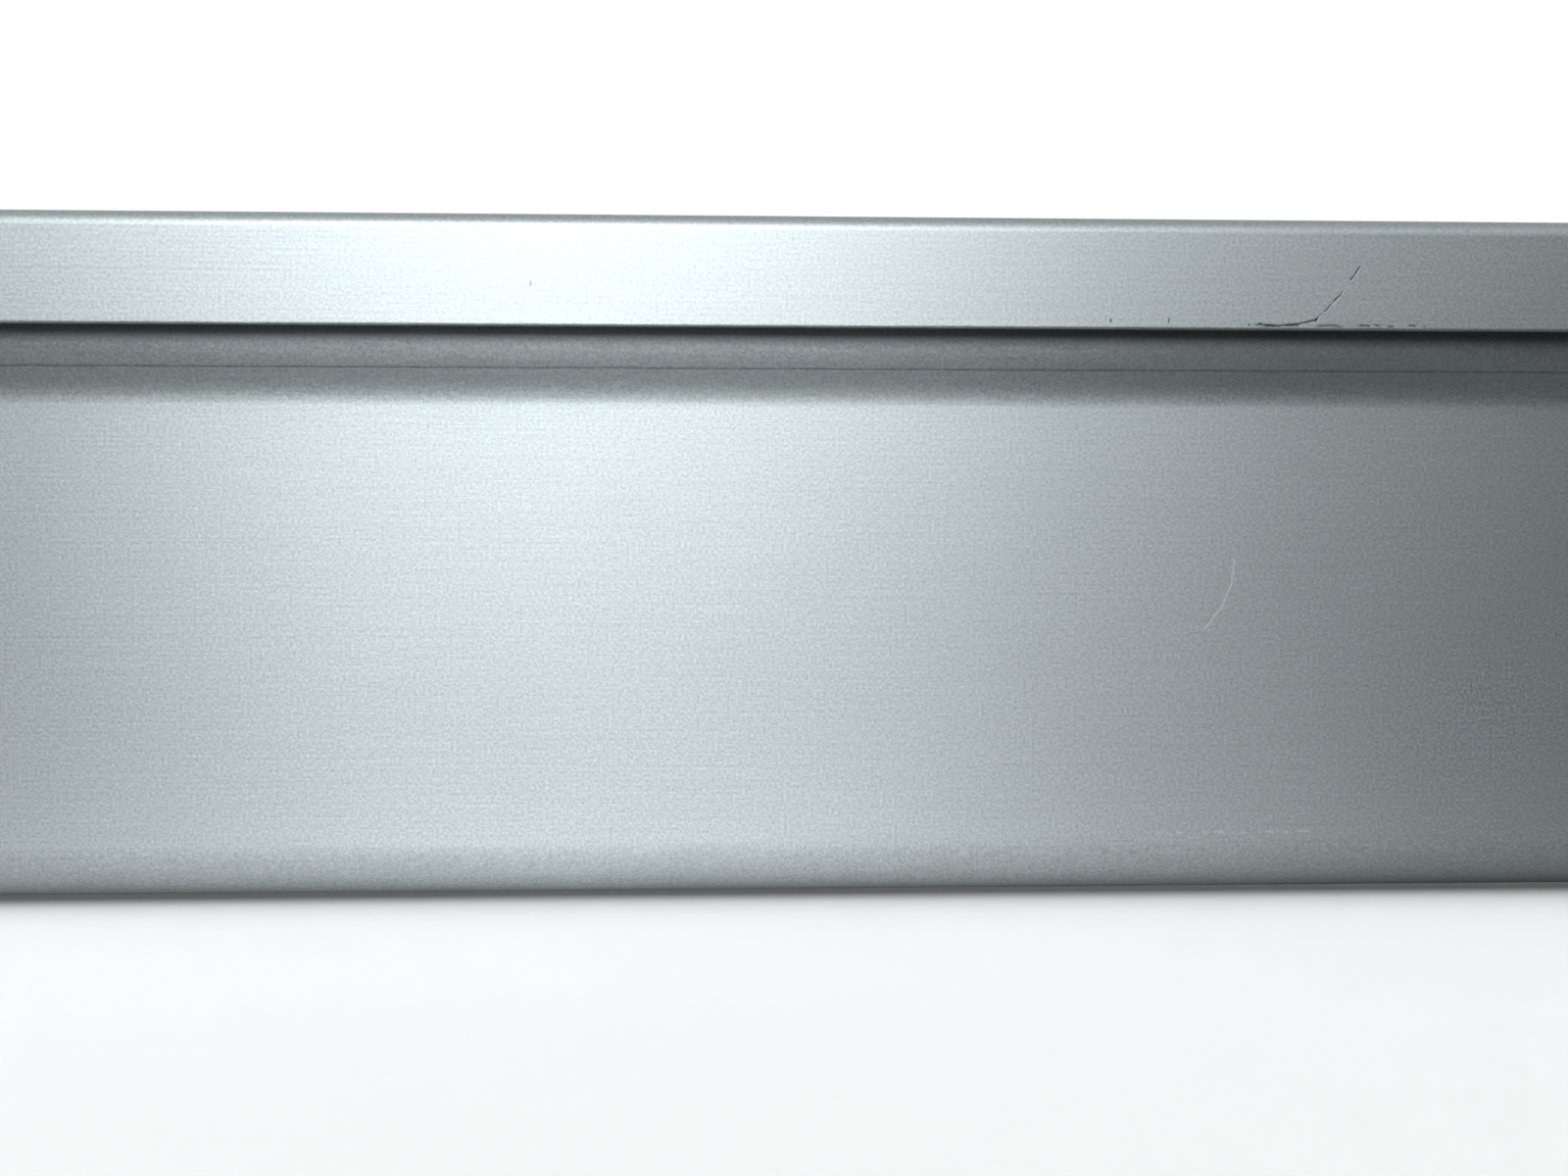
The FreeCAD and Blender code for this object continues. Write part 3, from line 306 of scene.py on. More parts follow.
def merged_copy(node, width):
    """A copy of a CAD node with its triangles joined to whole faces and its edges softened."""
    bpy.ops.object.select_all(action="DESELECT")
    source = frame["nodes"][node]
    piece = source.copy()
    piece.data = source.data.copy()
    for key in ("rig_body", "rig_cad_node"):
        if key in piece:
            del piece[key]
    piece.parent = None
    piece.name = piece.data.name = f"{node}_dressed"
    bpy.context.collection.objects.link(piece)
    piece.select_set(True)
    bpy.context.view_layer.objects.active = piece
    bpy.ops.object.mode_set(mode="EDIT")
    bpy.ops.mesh.select_all(action="SELECT")
    bpy.ops.mesh.remove_doubles(threshold=TINY)
    bpy.ops.mesh.dissolve_limited(angle_limit=math.radians(1))
    bpy.ops.object.mode_set(mode="OBJECT")
    bpy.ops.mesh.customdata_custom_splitnormals_clear()
    soften(piece, width)
    return piece


def finish_piece(piece, node, material):
    """Gives the piece its material and makes it stand for a CAD node."""
    piece.data.materials.clear()
    piece.data.materials.append(material)
    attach(piece, BODY_OF[node])
    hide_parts(node)


def dress_node(node, material):
    """Gives a CAD node a material as it is."""
    mesh = frame["nodes"][node].data
    mesh.materials.clear()
    mesh.materials.append(material)


def both(name):
    return [f"{name}_{end}" for end in ("right", "left")]


# Shader groups and materials


def new_group(name, inputs, outputs):
    """An empty shader group with named inputs, each with its default, and outputs. Gives its tree and both ends."""
    tree = bpy.data.node_groups.new(name, "ShaderNodeTree")
    for label, default in inputs.items():
        kind = "NodeSocketColor" if isinstance(default, tuple) else "NodeSocketFloat"
        socket = tree.interface.new_socket(label, in_out="INPUT", socket_type=kind)
        socket.default_value = default
    for label in outputs:
        tree.interface.new_socket(label, in_out="OUTPUT", socket_type="NodeSocketFloat")
    return tree, tree.nodes.new("NodeGroupInput"), tree.nodes.new("NodeGroupOutput")


def add_node(tree, kind, settings=None, **inputs):
    """A node with its settings and inputs. An input is a value, or the output that it is linked to."""
    made = tree.nodes.new(f"ShaderNode{kind}")
    for name, value in (settings or {}).items():
        setattr(made, name, value)
    for name, value in inputs.items():
        socket = made.inputs[int(name[1:])] if name[1:].isdigit() else made.inputs[name.replace("_", " ")]
        if isinstance(value, bpy.types.NodeSocket):
            tree.links.new(value, socket)
        else:
            socket.default_value = value
    return made


def calc(tree, operation, *values, clamp=False):
    """The output of a Math node over these values."""
    inputs = {f"i{n}": value for n, value in enumerate(values)}
    return add_node(tree, "Math", {"operation": operation, "use_clamp": clamp}, **inputs).outputs[0]


def ramp_between(tree, value, low, high, to_low=0.0, to_high=1.0):
    """The output of a Map Range node that goes smoothly from one range to another."""
    return add_node(tree, "MapRange", {"interpolation_type": "SMOOTHSTEP"}, i0=value, i1=low, i2=high, i3=to_low,
                    i4=to_high).outputs[0]


def noise(tree, vector, scale, detail=2.0, roughness=0.5):
    return add_node(tree, "TexNoise", Vector=vector, Scale=scale, Detail=detail, Roughness=roughness).outputs[0]


def stretched(tree, vector, *scale):
    return add_node(tree, "Mapping", Vector=vector, Scale=scale).outputs[0]


def build_brushed_group():
    """Level brush lines on upright faces, long lines on flat ones, and a sandy grain everywhere."""
    tree, ins, outs = new_group("Brushed grain", {"Line Scale": 1500.0, "Grain Scale": 900.0}, ("Lines", "Grain"))
    where = add_node(tree, "TexCoord")
    point, facing = where.outputs["Object"], add_node(tree, "SeparateXYZ", Vector=where.outputs["Normal"])
    upright = noise(tree, stretched(tree, point, 0.02, 0.02, 1.0), ins.outputs["Line Scale"])
    flat = noise(tree, stretched(tree, point, 0.02, 1.0, 0.02), ins.outputs["Line Scale"])
    on_flat = ramp_between(tree, calc(tree, "ABSOLUTE", facing.outputs["Z"]), 0.55, 0.85)
    lines = add_node(tree, "Mix", {"data_type": "FLOAT"}, i0=on_flat, i2=upright, i3=flat).outputs[0]
    grain = noise(tree, point, ins.outputs["Grain Scale"], detail=3.0, roughness=0.65)
    tree.links.new(lines, outs.inputs["Lines"])
    tree.links.new(grain, outs.inputs["Grain"])
    return tree


def build_arc_group():
    """A thin broken scratch on the front: part of a circle in the XZ plane, inside a box of X and Z."""
    inputs = {"Centre X": 0.0, "Centre Z": 0.0, "Radius": 0.02, "Low X": -1.0, "High X": 1.0, "Low Z": 0.0,
              "High Z": 1.0, "Width": 0.0002, "Breaks": 0.4}
    tree, ins, outs = new_group("Arc scratch", inputs, ("Mask",))
    point = add_node(tree, "TexCoord").outputs["Object"]
    axes = add_node(tree, "SeparateXYZ", Vector=point).outputs
    wobble = calc(tree, "MULTIPLY", calc(tree, "SUBTRACT", noise(tree, point, 350.0), 0.5), 0.0012)
    across = calc(tree, "SUBTRACT", axes["X"], ins.outputs["Centre X"])
    up = calc(tree, "SUBTRACT", axes["Z"], ins.outputs["Centre Z"])
    far = calc(tree, "SQRT", calc(tree, "ADD", calc(tree, "MULTIPLY", across, across), calc(tree, "MULTIPLY", up, up)))
    off = calc(tree, "ABSOLUTE", calc(tree, "ADD", calc(tree, "SUBTRACT", far, ins.outputs["Radius"]), wobble))
    mask = ramp_between(tree, off, ins.outputs["Width"], 0.0)
    for axis in ("X", "Z"):
        above = calc(tree, "GREATER_THAN", axes[axis], ins.outputs[f"Low {axis}"])
        below = calc(tree, "LESS_THAN", axes[axis], ins.outputs[f"High {axis}"])
        mask = calc(tree, "MULTIPLY", mask, calc(tree, "MULTIPLY", above, below))
    front = calc(tree, "LESS_THAN", axes["Y"], 0.0)
    whole = calc(tree, "ADD", ins.outputs["Breaks"], 0.12)
    kept = ramp_between(tree, noise(tree, point, 420.0), ins.outputs["Breaks"], whole)
    tree.links.new(calc(tree, "MULTIPLY", calc(tree, "MULTIPLY", mask, front), kept), outs.inputs["Mask"])
    return tree


def build_handling_group():
    """Soft patches where the finish is handled."""
    tree, ins, outs = new_group("Handling", {"Patch Scale": 12.0}, ("Patches",))
    point = add_node(tree, "TexCoord").outputs["Object"]
    patches = noise(tree, point, ins.outputs["Patch Scale"], detail=4.0)
    tree.links.new(patches, outs.inputs["Patches"])
    return tree


def build_bend_group():
    """Where a piece bends over above a height. It gives the lid's outer bend the darker tone that it has in the light
    of the photograph, which the tent alone would show bright."""
    tree, ins, outs = new_group("Upper bend", {"Height": 0.146}, ("Mask",))
    where = add_node(tree, "TexCoord")
    lean = calc(tree, "ABSOLUTE", add_node(tree, "SeparateXYZ", Vector=where.outputs["Normal"]).outputs["Z"])
    up = add_node(tree, "SeparateXYZ", Vector=where.outputs["Object"]).outputs["Z"]
    bent = calc(tree, "MULTIPLY", ramp_between(tree, lean, 0.1, 0.75), ramp_between(tree, lean, 0.995, 0.97))
    above = calc(tree, "GREATER_THAN", up, ins.outputs["Height"])
    tree.links.new(calc(tree, "MULTIPLY", bent, above), outs.inputs["Mask"])
    return tree


def build_crease_group():
    """A thin broken line round the pan at a height, where two bends of the drawn sheet meet. The pan darkens it there
    as painted shade in the crease.
    """
    tree, ins, outs = new_group("Crease", {"Height": 0.118, "Width": 0.0002}, ("Mask",))
    point = add_node(tree, "TexCoord").outputs["Object"]
    up = add_node(tree, "SeparateXYZ", Vector=point).outputs["Z"]
    waves = noise(tree, stretched(tree, point, 1, 1, 0), 60.0)
    wobble = calc(tree, "MULTIPLY", calc(tree, "SUBTRACT", waves, 0.5), 0.0003)
    off = calc(tree, "ABSOLUTE", calc(tree, "ADD", calc(tree, "SUBTRACT", up, ins.outputs["Height"]), wobble))
    line = ramp_between(tree, off, ins.outputs["Width"], 0.0)
    kept = ramp_between(tree, noise(tree, point, 500.0), 0.25, 0.55, 0.45, 1.0)
    tree.links.new(calc(tree, "MULTIPLY", line, kept), outs.inputs["Mask"])
    return tree


def group_node(tree, name, **inputs):
    made = tree.nodes.new("ShaderNodeGroup")
    made.node_tree = bpy.data.node_groups[name]
    for label, value in inputs.items():
        made.inputs[label.replace("_", " ")].default_value = value
    return made


def new_material(name, base, roughness, metallic=0.0):
    """A material with a Principled shader, and that shader."""
    material = bpy.data.materials.new(name)
    material.use_nodes = True
    shader = next(n for n in material.node_tree.nodes if n.type == "BSDF_PRINCIPLED")
    shader.inputs["Base Color"].default_value = (*base, 1)
    shader.inputs["Roughness"].default_value = roughness
    shader.inputs["Metallic"].default_value = metallic
    return material, shader


def tint(tree, colour_in, value, low, high):
    """A colour multiplied by a value that is spread from low to high."""
    factor = add_node(tree, "MapRange", i0=value, i1=0.3, i2=0.7, i3=low, i4=high).outputs[0]
    return add_node(tree, "Mix", {"data_type": "RGBA", "blend_type": "MULTIPLY"}, i0=1.0, i6=colour_in,
                    i7=factor).outputs[2]


def build_metal(name, base, roughness, line_scale, grain_scale, grain_depth, stretch=0.0):
    """Brushed metal whose tone, gloss and height follow brush lines, grain and handling.

    A stretch spreads reflections across the brush lines: up and down on walls, and along Y on level faces.
    """
    material, shader = new_material(name, base, roughness, metallic=1.0)
    tree = material.node_tree
    if stretch:
        shader.inputs["Anisotropic"].default_value = stretch
        across = add_node(tree, "CombineXYZ", Y=0.02, Z=1.0)
        tree.links.new(across.outputs[0], shader.inputs["Tangent"])
    brushed = group_node(tree, "Brushed grain", Line_Scale=line_scale, Grain_Scale=grain_scale)
    handled = group_node(tree, "Handling")
    tone = tint(tree, (*base, 1), brushed.outputs["Grain"], 0.77, 1.15)
    tone = tint(tree, tone, brushed.outputs["Lines"], 0.975, 1.02)
    tone = tint(tree, tone, handled.outputs["Patches"], 0.97, 1.02)
    gloss = add_node(tree, "MapRange", i0=brushed.outputs["Grain"], i1=0.3, i2=0.7, i3=roughness - 0.05,
                     i4=roughness + 0.05).outputs[0]
    gloss = calc(tree, "ADD", gloss, calc(tree, "MULTIPLY", handled.outputs["Patches"], 0.03))
    height = calc(tree, "ADD", brushed.outputs["Grain"], brushed.outputs["Lines"])
    bump = add_node(tree, "Bump", Height=height, Distance=grain_depth, Strength=1.0)
    tree.links.new(tone, shader.inputs["Base Color"])
    tree.links.new(gloss, shader.inputs["Roughness"])
    tree.links.new(bump.outputs[0], shader.inputs["Normal"])
    return material, shader, tone, height


def build_plain(name, base, roughness, scale, depth):
    """A matt moulded or pressed material with a fine uneven surface."""
    material, shader = new_material(name, base, roughness)
    tree = material.node_tree
    point = add_node(tree, "TexCoord").outputs["Object"]
    grain = noise(tree, point, scale, detail=3.0)
    handled = group_node(tree, "Handling")
    tone = tint(tree, (*base, 1), grain, 0.92, 1.05)
    tone = tint(tree, tone, handled.outputs["Patches"], 0.95, 1.03)
    gloss = add_node(tree, "MapRange", i0=grain, i1=0.3, i2=0.7, i3=roughness - 0.06, i4=roughness + 0.06).outputs[0]
    bump = add_node(tree, "Bump", Height=grain, Distance=depth, Strength=1.0)
    tree.links.new(tone, shader.inputs["Base Color"])
    tree.links.new(gloss, shader.inputs["Roughness"])
    tree.links.new(bump.outputs[0], shader.inputs["Normal"])
    return material


def add_marks(material, shader, tone, height, marks, strength):
    """Lays marks over a metal. Each is a group's values, a tone, its share of that tone, and how far it stands out."""
    tree = material.node_tree
    for values, mark_tone, amount, dent in marks:
        mask = group_node(tree, "Crease" if "Height" in values else "Arc scratch", **values).outputs[0]
        worn = calc(tree, "MULTIPLY", mask, amount * strength)
        tone = add_node(tree, "Mix", {"data_type": "RGBA"}, i0=worn, i6=tone, i7=(*mark_tone, 1)).outputs[2]
        height = calc(tree, "ADD", height, calc(tree, "MULTIPLY", worn, dent))
    bump = next(n for n in tree.nodes if n.type == "BUMP")
    tree.links.new(tone, shader.inputs["Base Color"])
    tree.links.new(height, bump.inputs["Height"])


def shade_and_dull_bend(material, shader, height):
    """Makes a metal darker and less glossy where it bends over above a height. The darker tone is painted shade and
    stands in for light, not finish.
    """
    tree = material.node_tree
    mask = group_node(tree, "Upper bend", Height=height).outputs[0]
    tone = shader.inputs["Base Color"].links[0].from_socket
    gloss = shader.inputs["Roughness"].links[0].from_socket
    shade = add_node(tree, "Mix", {"data_type": "FLOAT"}, i0=mask, i2=1.0, i3=0.4).outputs[0]
    tone = add_node(tree, "Mix", {"data_type": "RGBA", "blend_type": "MULTIPLY"}, i0=1.0, i6=tone, i7=shade).outputs[2]
    gloss = calc(tree, "ADD", gloss, calc(tree, "MULTIPLY", mask, 0.4), clamp=True)
    tree.links.new(tone, shader.inputs["Base Color"])
    tree.links.new(gloss, shader.inputs["Roughness"])
    tree.links.new(calc(tree, "SUBTRACT", 1.0, calc(tree, "MULTIPLY", mask, 0.6)), shader.inputs["Metallic"])


# Operators


class BuildPan(bpy.types.Operator):
    """Model the pan: a flared rim, straight walls, a rounded base and a raised middle."""

    bl_idname = "container.build_pan"
    bl_label = "Pan"

    def execute(self, context):
        sizes, colours = context.scene.container_sizes, context.scene.container_colours
        pan = start_plane("Pan", sizes.rim_height)
        round_plane(sizes.half_length, sizes.half_width, sizes.wall_corner + sizes.rim_step)
        choose(pan, "faces", lambda face: True)
        shoulder, wall_top = sizes.rim_height - sizes.shoulder_drop, sizes.rim_height - sizes.flare_drop
        walk_section(round_section([
            (sizes.rim_step, sizes.rim_height, 0), (sizes.rim_step, shoulder, sizes.bead_bend),
            (0, wall_top, sizes.flare_bend), (0, 0, sizes.base_bend), (-sizes.base_bend, 0, 0)]))
        open_face()
        inside = sizes.rim_step + sizes.base_ring
        bpy.ops.mesh.select_mode(type="VERT")
        bpy.ops.mesh.primitive_plane_add(size=1)
        round_plane(sizes.half_length - inside, sizes.half_width - inside, sizes.base_corner)
        choose(pan, "faces", lambda face: len(face.verts) > 4 and abs(face.calc_center_median().z) < TINY)
        walk_section([Vector((0, 0)), Vector((-sizes.base_rise, sizes.base_rise))])
        fill_between(pan, 0, lambda middle: True)
        face_outwards(pan, Vector((0, -1, 0.07)))
        add_modifier(pan, "SOLIDIFY", thickness=sizes.sheet, offset=-1, use_even_offset=True, use_rim=True,
                     use_quality_normals=True)
        soften(pan, sizes.edge_bevel)
        material, shader, tone, height = build_metal("Pan aluminium", colours.aluminium, colours.roughness,
                                                     *ALUMINIUM_GRAIN, colours.stretch)
        pale, dark = (0.95, 0.97, 0.98), (0.12, 0.14, 0.16)
        # The crease under the rim, darkened as painted shade over a slight groove, a pale curved scratch on the wall,
        # and a scuff over the base bend.
        marks = [
            (dict(Height=0.118, Width=0.00032), dark, 0.55, -3.0),
            (dict(Centre_X=0.0774, Centre_Z=0.0764, Radius=0.0204, Low_X=0.0913, High_X=0.0985, Low_Z=0.0612,
                  High_Z=0.077, Width=0.00045, Breaks=0.3), pale, 0.6, -1.0),
            (dict(Centre_X=0.098, Centre_Z=1.0154, Radius=1.0, Low_X=0.081, High_X=0.116, Low_Z=0.012, High_Z=0.018,
                  Width=0.0005, Breaks=0.42), pale, 0.55, -0.8),
        ]
        add_marks(material, shader, tone, height, marks, colours.wear)
        finish_piece(pan, "pan", material)
        return {"FINISHED"}


class BuildLid(bpy.types.Operator):
    """Model the lid: a skirt, a flat border, a sunk panel and two raised fields with steam holes."""

    bl_idname = "container.build_lid"
    bl_label = "Lid"

    def execute(self, context):
        sizes, colours = context.scene.container_sizes, context.scene.container_colours
        out = LID_HIGH.x - (sizes.half_length - sizes.rim_step)
        low, top = LID_LOW.z, LID_HIGH.z
        lid = start_plane("Lid", low)
        round_plane(LID_HIGH.x, LID_HIGH.y, sizes.wall_corner + out)
        choose(lid, "faces", lambda face: True)
        panel = top - sizes.panel_drop
        inset = out - sizes.border
        walk_section(round_section([
            (out, low, 0), (out, top, LID_BEND), (inset, top, PANEL_BEND),
            (inset - sizes.panel_drop, panel, PANEL_BEND), (inset - PANEL_START, panel, 0)]))
        open_face()
        raised = panel + FIELD_RISE
        for place in (STUD_PLACE, -STUD_PLACE):
            bpy.ops.mesh.select_mode(type="VERT")
            bpy.ops.mesh.select_all(action="DESELECT")
            bpy.ops.mesh.primitive_circle_add(vertices=FIELD_SIDES, radius=sizes.field_radius + FIELD_LIP,
                                              fill_type="NGON", location=(place, 0, panel))
            choose(lid, "faces", lambda face: (len(face.verts) == FIELD_SIDES
                                               and abs(face.calc_center_median().x - place) < 0.01))
            walk_section(round_section([
                (FIELD_LIP, panel, 0), (0, panel, FIELD_BEND), (-FIELD_RISE, raised, FIELD_BEND),
                (-2 * FIELD_RISE, raised, 0)]))
            open_face()
            for ring, count in enumerate(VENT_RINGS):
                bpy.ops.mesh.select_mode(type="VERT")
                bpy.ops.mesh.select_all(action="DESELECT")
                bpy.ops.mesh.primitive_circle_add(vertices=VENT_SIDES, radius=sizes.vent_radius, fill_type="NOTHING",
                                                  location=(place + FIRST_VENTS + ring * VENT_SPACING, 0, raised))
                bpy.ops.mesh.spin(steps=count - 1, dupli=True, angle=2 * math.pi * (count - 1) / count,
                                  center=(place, 0, 0), axis=(0, 0, 1))
            fill_between(lid, raised, lambda middle: abs(middle.x - place) < 0.1)
        fill_between(lid, panel, lambda middle: True)
        face_outwards(lid, Vector((0, -1, low + 0.012)))
        add_modifier(lid, "SOLIDIFY", thickness=sizes.sheet, offset=-1, use_even_offset=True, use_rim=True,
                     use_quality_normals=True)
        soften(lid, sizes.edge_bevel)
        material, shader, tone, height = build_metal("Lid aluminium", colours.aluminium, colours.roughness,
                                                     *ALUMINIUM_GRAIN, colours.stretch)
        dark = (0.05, 0.06, 0.075)
        # A dark scratch that rises from the skirt's edge, its flat start, a broken line beside it, two nicks, a speck.
        marks = [
            (dict(Centre_X=0.0755, Centre_Z=0.1674, Radius=0.053, Low_X=0.1108, High_X=0.1204, Low_Z=0.1268,
                  High_Z=0.1395, Width=0.00034, Breaks=0.36), dark, 0.75, -2.0),
            (dict(Centre_X=0.1026, Centre_Z=0.1543, Radius=0.0276, Low_X=0.0985, High_X=0.1112, Low_Z=0.1262,
                  High_Z=0.1283, Width=0.00045, Breaks=0.3), dark, 0.85, -2.0),
            (dict(Centre_X=0.115, Centre_Z=3.1267, Radius=3.0, Low_X=0.0962, High_X=0.1347, Low_Z=0.1260,
                  High_Z=0.1274, Width=0.00045, Breaks=0.42), dark, 0.75, -2.0),
            (dict(Centre_X=3.0668, Centre_Z=0.1276, Radius=3.0, Low_X=0.066, High_X=0.0675, Low_Z=0.1271,
                  High_Z=0.1280, Width=0.0003, Breaks=0.0), dark, 0.85, -2.0),
            (dict(Centre_X=3.0792, Centre_Z=0.1278, Radius=3.0, Low_X=0.078, High_X=0.080, Low_Z=0.1271,
                  High_Z=0.1283, Width=0.0003, Breaks=0.0), dark, 0.85, -2.0),
            (dict(Centre_X=2.9440, Centre_Z=0.1345, Radius=3.0, Low_X=-0.058, High_X=-0.054, Low_Z=0.1340,
                  High_Z=0.1352, Width=0.0004, Breaks=0.2), dark, 0.5, -2.0),
        ]
        add_marks(material, shader, tone, height, marks, colours.wear)
        # Painted shade on the lid's outer bend: a darker, less glossy tone where it bends over.
        shade_and_dull_bend(material, shader, top - LID_BEND)
        finish_piece(lid, "lid", material)
        return {"FINISHED"}


class BuildSteel(bpy.types.Operator):
    """Round the edges of the bent steel: keepers, brackets, label frames, latches, hinges, pins and filter studs.
    Rivets, handle rods and the gasket channel get the steel as they are.
    """

    bl_idname = "container.build_steel"
    bl_label = "Latches, handles and rivets"

    def execute(self, context):
        colours = context.scene.container_colours
        steel = build_metal("Stainless steel", colours.stainless, 0.32, *STEEL_GRAIN)[0]
        bent = (both("latch_keeper") + both("handle_bracket_rear") + both("handle_bracket_front")
                + both("label_frame") + both("latch_hinge") + both("latch_lever"))
        for node in bent:
            finish_piece(merged_copy(node, 0.00035), node, steel)
        for node in both("latch_pin") + both("filter_stud"):
            finish_piece(merged_copy(node, 0.0003), node, steel)
        for node in both("pan_rivets") + both("lid_rivets") + both("handle_bail") + ["gasket_channel"]:
            dress_node(node, steel)
        return {"FINISHED"}


class BuildGrips(bpy.types.Operator):
    """Dress the handles' rubber sleeves and the blank cards in the label frames."""

    bl_idname = "container.build_grips"
    bl_label = "Grips and cards"

    def execute(self, context):
        colours = context.scene.container_colours
        rubber = build_plain("Grip rubber", colours.rubber, 0.62, 1400, 0.00004)
        card = build_plain("Label card", colours.card, 0.42, 900, 0.00001)
        for node in both("handle_grip"):
            finish_piece(merged_copy(node, 0.0003), node, rubber)
        for node in both("label_card"):
            finish_piece(merged_copy(node, 0.0001), node, card)
        return {"FINISHED"}


class BuildFilters(bpy.types.Operator):
    """Dress the gaskets and the filter cassettes: sheets, seals, plates, hubs, clips and buttons."""

    bl_idname = "container.build_filters"
    bl_label = "Gaskets and filters"

    def execute(self, context):
        colours = context.scene.container_colours
        steel = bpy.data.materials["Stainless steel"]
        silicone = build_plain("Silicone", colours.silicone, 0.55, 700, 0.00002)
        paper = build_plain("Filter paper", colours.paper, 0.9, 2200, 0.00003)
        hub = build_plain("Hub plastic", colours.hub_plastic, 0.45, 1200, 0.00002)
        button = build_plain("Button plastic", colours.button_plastic, 0.4, 1200, 0.00001)
        for node in ["lid_gasket"] + both("filter_seal"):
            dress_node(node, silicone)
        for node in both("filter_sheet"):
            dress_node(node, paper)
        for node in both("filter_plate") + both("filter_clip"):
            dress_node(node, steel)
        for node in both("filter_hub"):
            finish_piece(merged_copy(node, 0.0004), node, hub)
        for node in both("filter_button"):
            finish_piece(merged_copy(node, 0.0003), node, button)
        return {"FINISHED"}


class BuildStage(bpy.types.Operator):
    """Set up the pale floor, the light tent, the overhead lamp, the world and the camera."""

    bl_idname = "container.build_stage"
    bl_label = "Stage"

    def execute(self, context):
        stage, sizes = context.scene.container_stage, context.scene.container_sizes
        bpy.ops.object.select_all(action="DESELECT")
        bpy.ops.mesh.primitive_plane_add(size=FLOOR_SIZE)
        floor = context.object
        floor.name = "Floor"
        bpy.ops.transform.translate(value=(0, 0, -FLOOR_DROP))
        floor.data.materials.append(new_material("Floor", stage.floor, 0.9)[0])
        floor.visible_glossy = False
        bpy.ops.mesh.primitive_uv_sphere_add(segments=64, ring_count=32, radius=TENT_RADIUS)
        tent = context.object
        tent.name = "Light tent"
        tent.data.materials.append(build_tent_material())
        tent.visible_camera = tent.visible_diffuse = tent.visible_shadow = tent.visible_transmission = False
        bpy.ops.mesh.primitive_plane_add(size=1)
        foot = context.object
        foot.name = "Foot light"
        lit_x, lit_y = sizes.half_length + FOOT_MARGIN, sizes.half_width + FOOT_MARGIN
        bpy.ops.transform.resize(value=(2 * lit_x, 2 * lit_y, 1))
        bpy.ops.transform.translate(value=(0, 0, FOOT_HEIGHT))
        bpy.ops.object.transform_apply()
        wall_x, wall_y = sizes.half_length - sizes.rim_step, sizes.half_width - sizes.rim_step
        foot.data.materials.append(build_foot_material(wall_x, wall_y))
        foot.visible_camera = foot.visible_diffuse = foot.visible_shadow = foot.visible_transmission = False
        bpy.ops.object.light_add(type="AREA", location=LAMP_PLACE)
        lamp = context.object
        lamp.data.size = LAMP_SIZE
        lamp.data.energy = stage.lamp_power
        lamp.visible_glossy = False
        lamp.rotation_euler = (Vector(LAMP_TARGET) - lamp.location).to_track_quat("-Z", "Y").to_euler()
        build_world(context.scene)
        bpy.ops.object.camera_add(location=stage.camera_place,
                                  rotation=(math.pi / 2 - stage.camera_dip, 0, -stage.camera_turn))
        camera = context.object
        camera.data.lens = stage.lens
        camera.data.sensor_width = 36
        camera.data.clip_start = 0.01
        context.scene.camera = camera
        context.scene.view_settings.view_transform = "Standard"
        return {"FINISHED"}


def set_ramp(ramp, stops):
    """Puts grey stops on a colour ramp. Each is a place from 0 to 1 and a grey."""
    while len(ramp.elements) > 1:
        ramp.elements.remove(ramp.elements[-1])
    ramp.elements[0].position, grey = stops[0]
    ramp.elements[0].color = (grey, grey, grey, 1)
    for place, grey in stops[1:]:
        ramp.elements.new(place).color = (grey, grey, grey, 1)


def new_light_material(name):
    """A material that only shines. Gives it, its tree, and the strength to link."""
    material = bpy.data.materials.new(name)
    material.use_nodes = True
    tree = material.node_tree
    tree.nodes.clear()
    shine = add_node(tree, "Emission")
    out = add_node(tree, "OutputMaterial")
    tree.links.new(shine.outputs[0], out.inputs[0])
    return material, tree, shine.inputs["Strength"]


def build_tent_material():
    """Soft light in what the metal mirrors, set by direction: see AROUND_LIGHT and RISING_LIGHT."""
    material, tree, strength = new_light_material("Light tent")
    point = add_node(tree, "TexCoord").outputs["Object"]
    axes = add_node(tree, "SeparateXYZ", Vector=point).outputs
    turn = calc(tree, "ARCTAN2", axes["X"], calc(tree, "MULTIPLY", axes["Y"], -1.0))
    around = calc(tree, "ADD", calc(tree, "DIVIDE", turn, 2 * math.pi), 0.5)
    side = add_node(tree, "ValToRGB", Fac=around)
    set_ramp(side.color_ramp, [(degrees / 360 + 0.5, grey) for degrees, grey in AROUND_LIGHT])
    rise = add_node(tree, "ValToRGB", Fac=calc(tree, "ADD", calc(tree, "DIVIDE", axes["Z"], 2 * TENT_RADIUS), 0.5))
    set_ramp(rise.color_ramp, [(0.5 + math.sin(math.radians(degrees)) / 2, grey) for degrees, grey in RISING_LIGHT])
    light = calc(tree, "MULTIPLY", calc(tree, "MULTIPLY", side.outputs[0], rise.outputs[0]), LIGHT_LEVEL)
    beside = ramp_between(tree, calc(tree, "ABSOLUTE", turn), math.radians(SIDE_FROM), math.radians(SIDE_TO), 0.0,
                          SIDE_FILL)
    tree.links.new(calc(tree, "ADD", light, beside), strength)
    return material


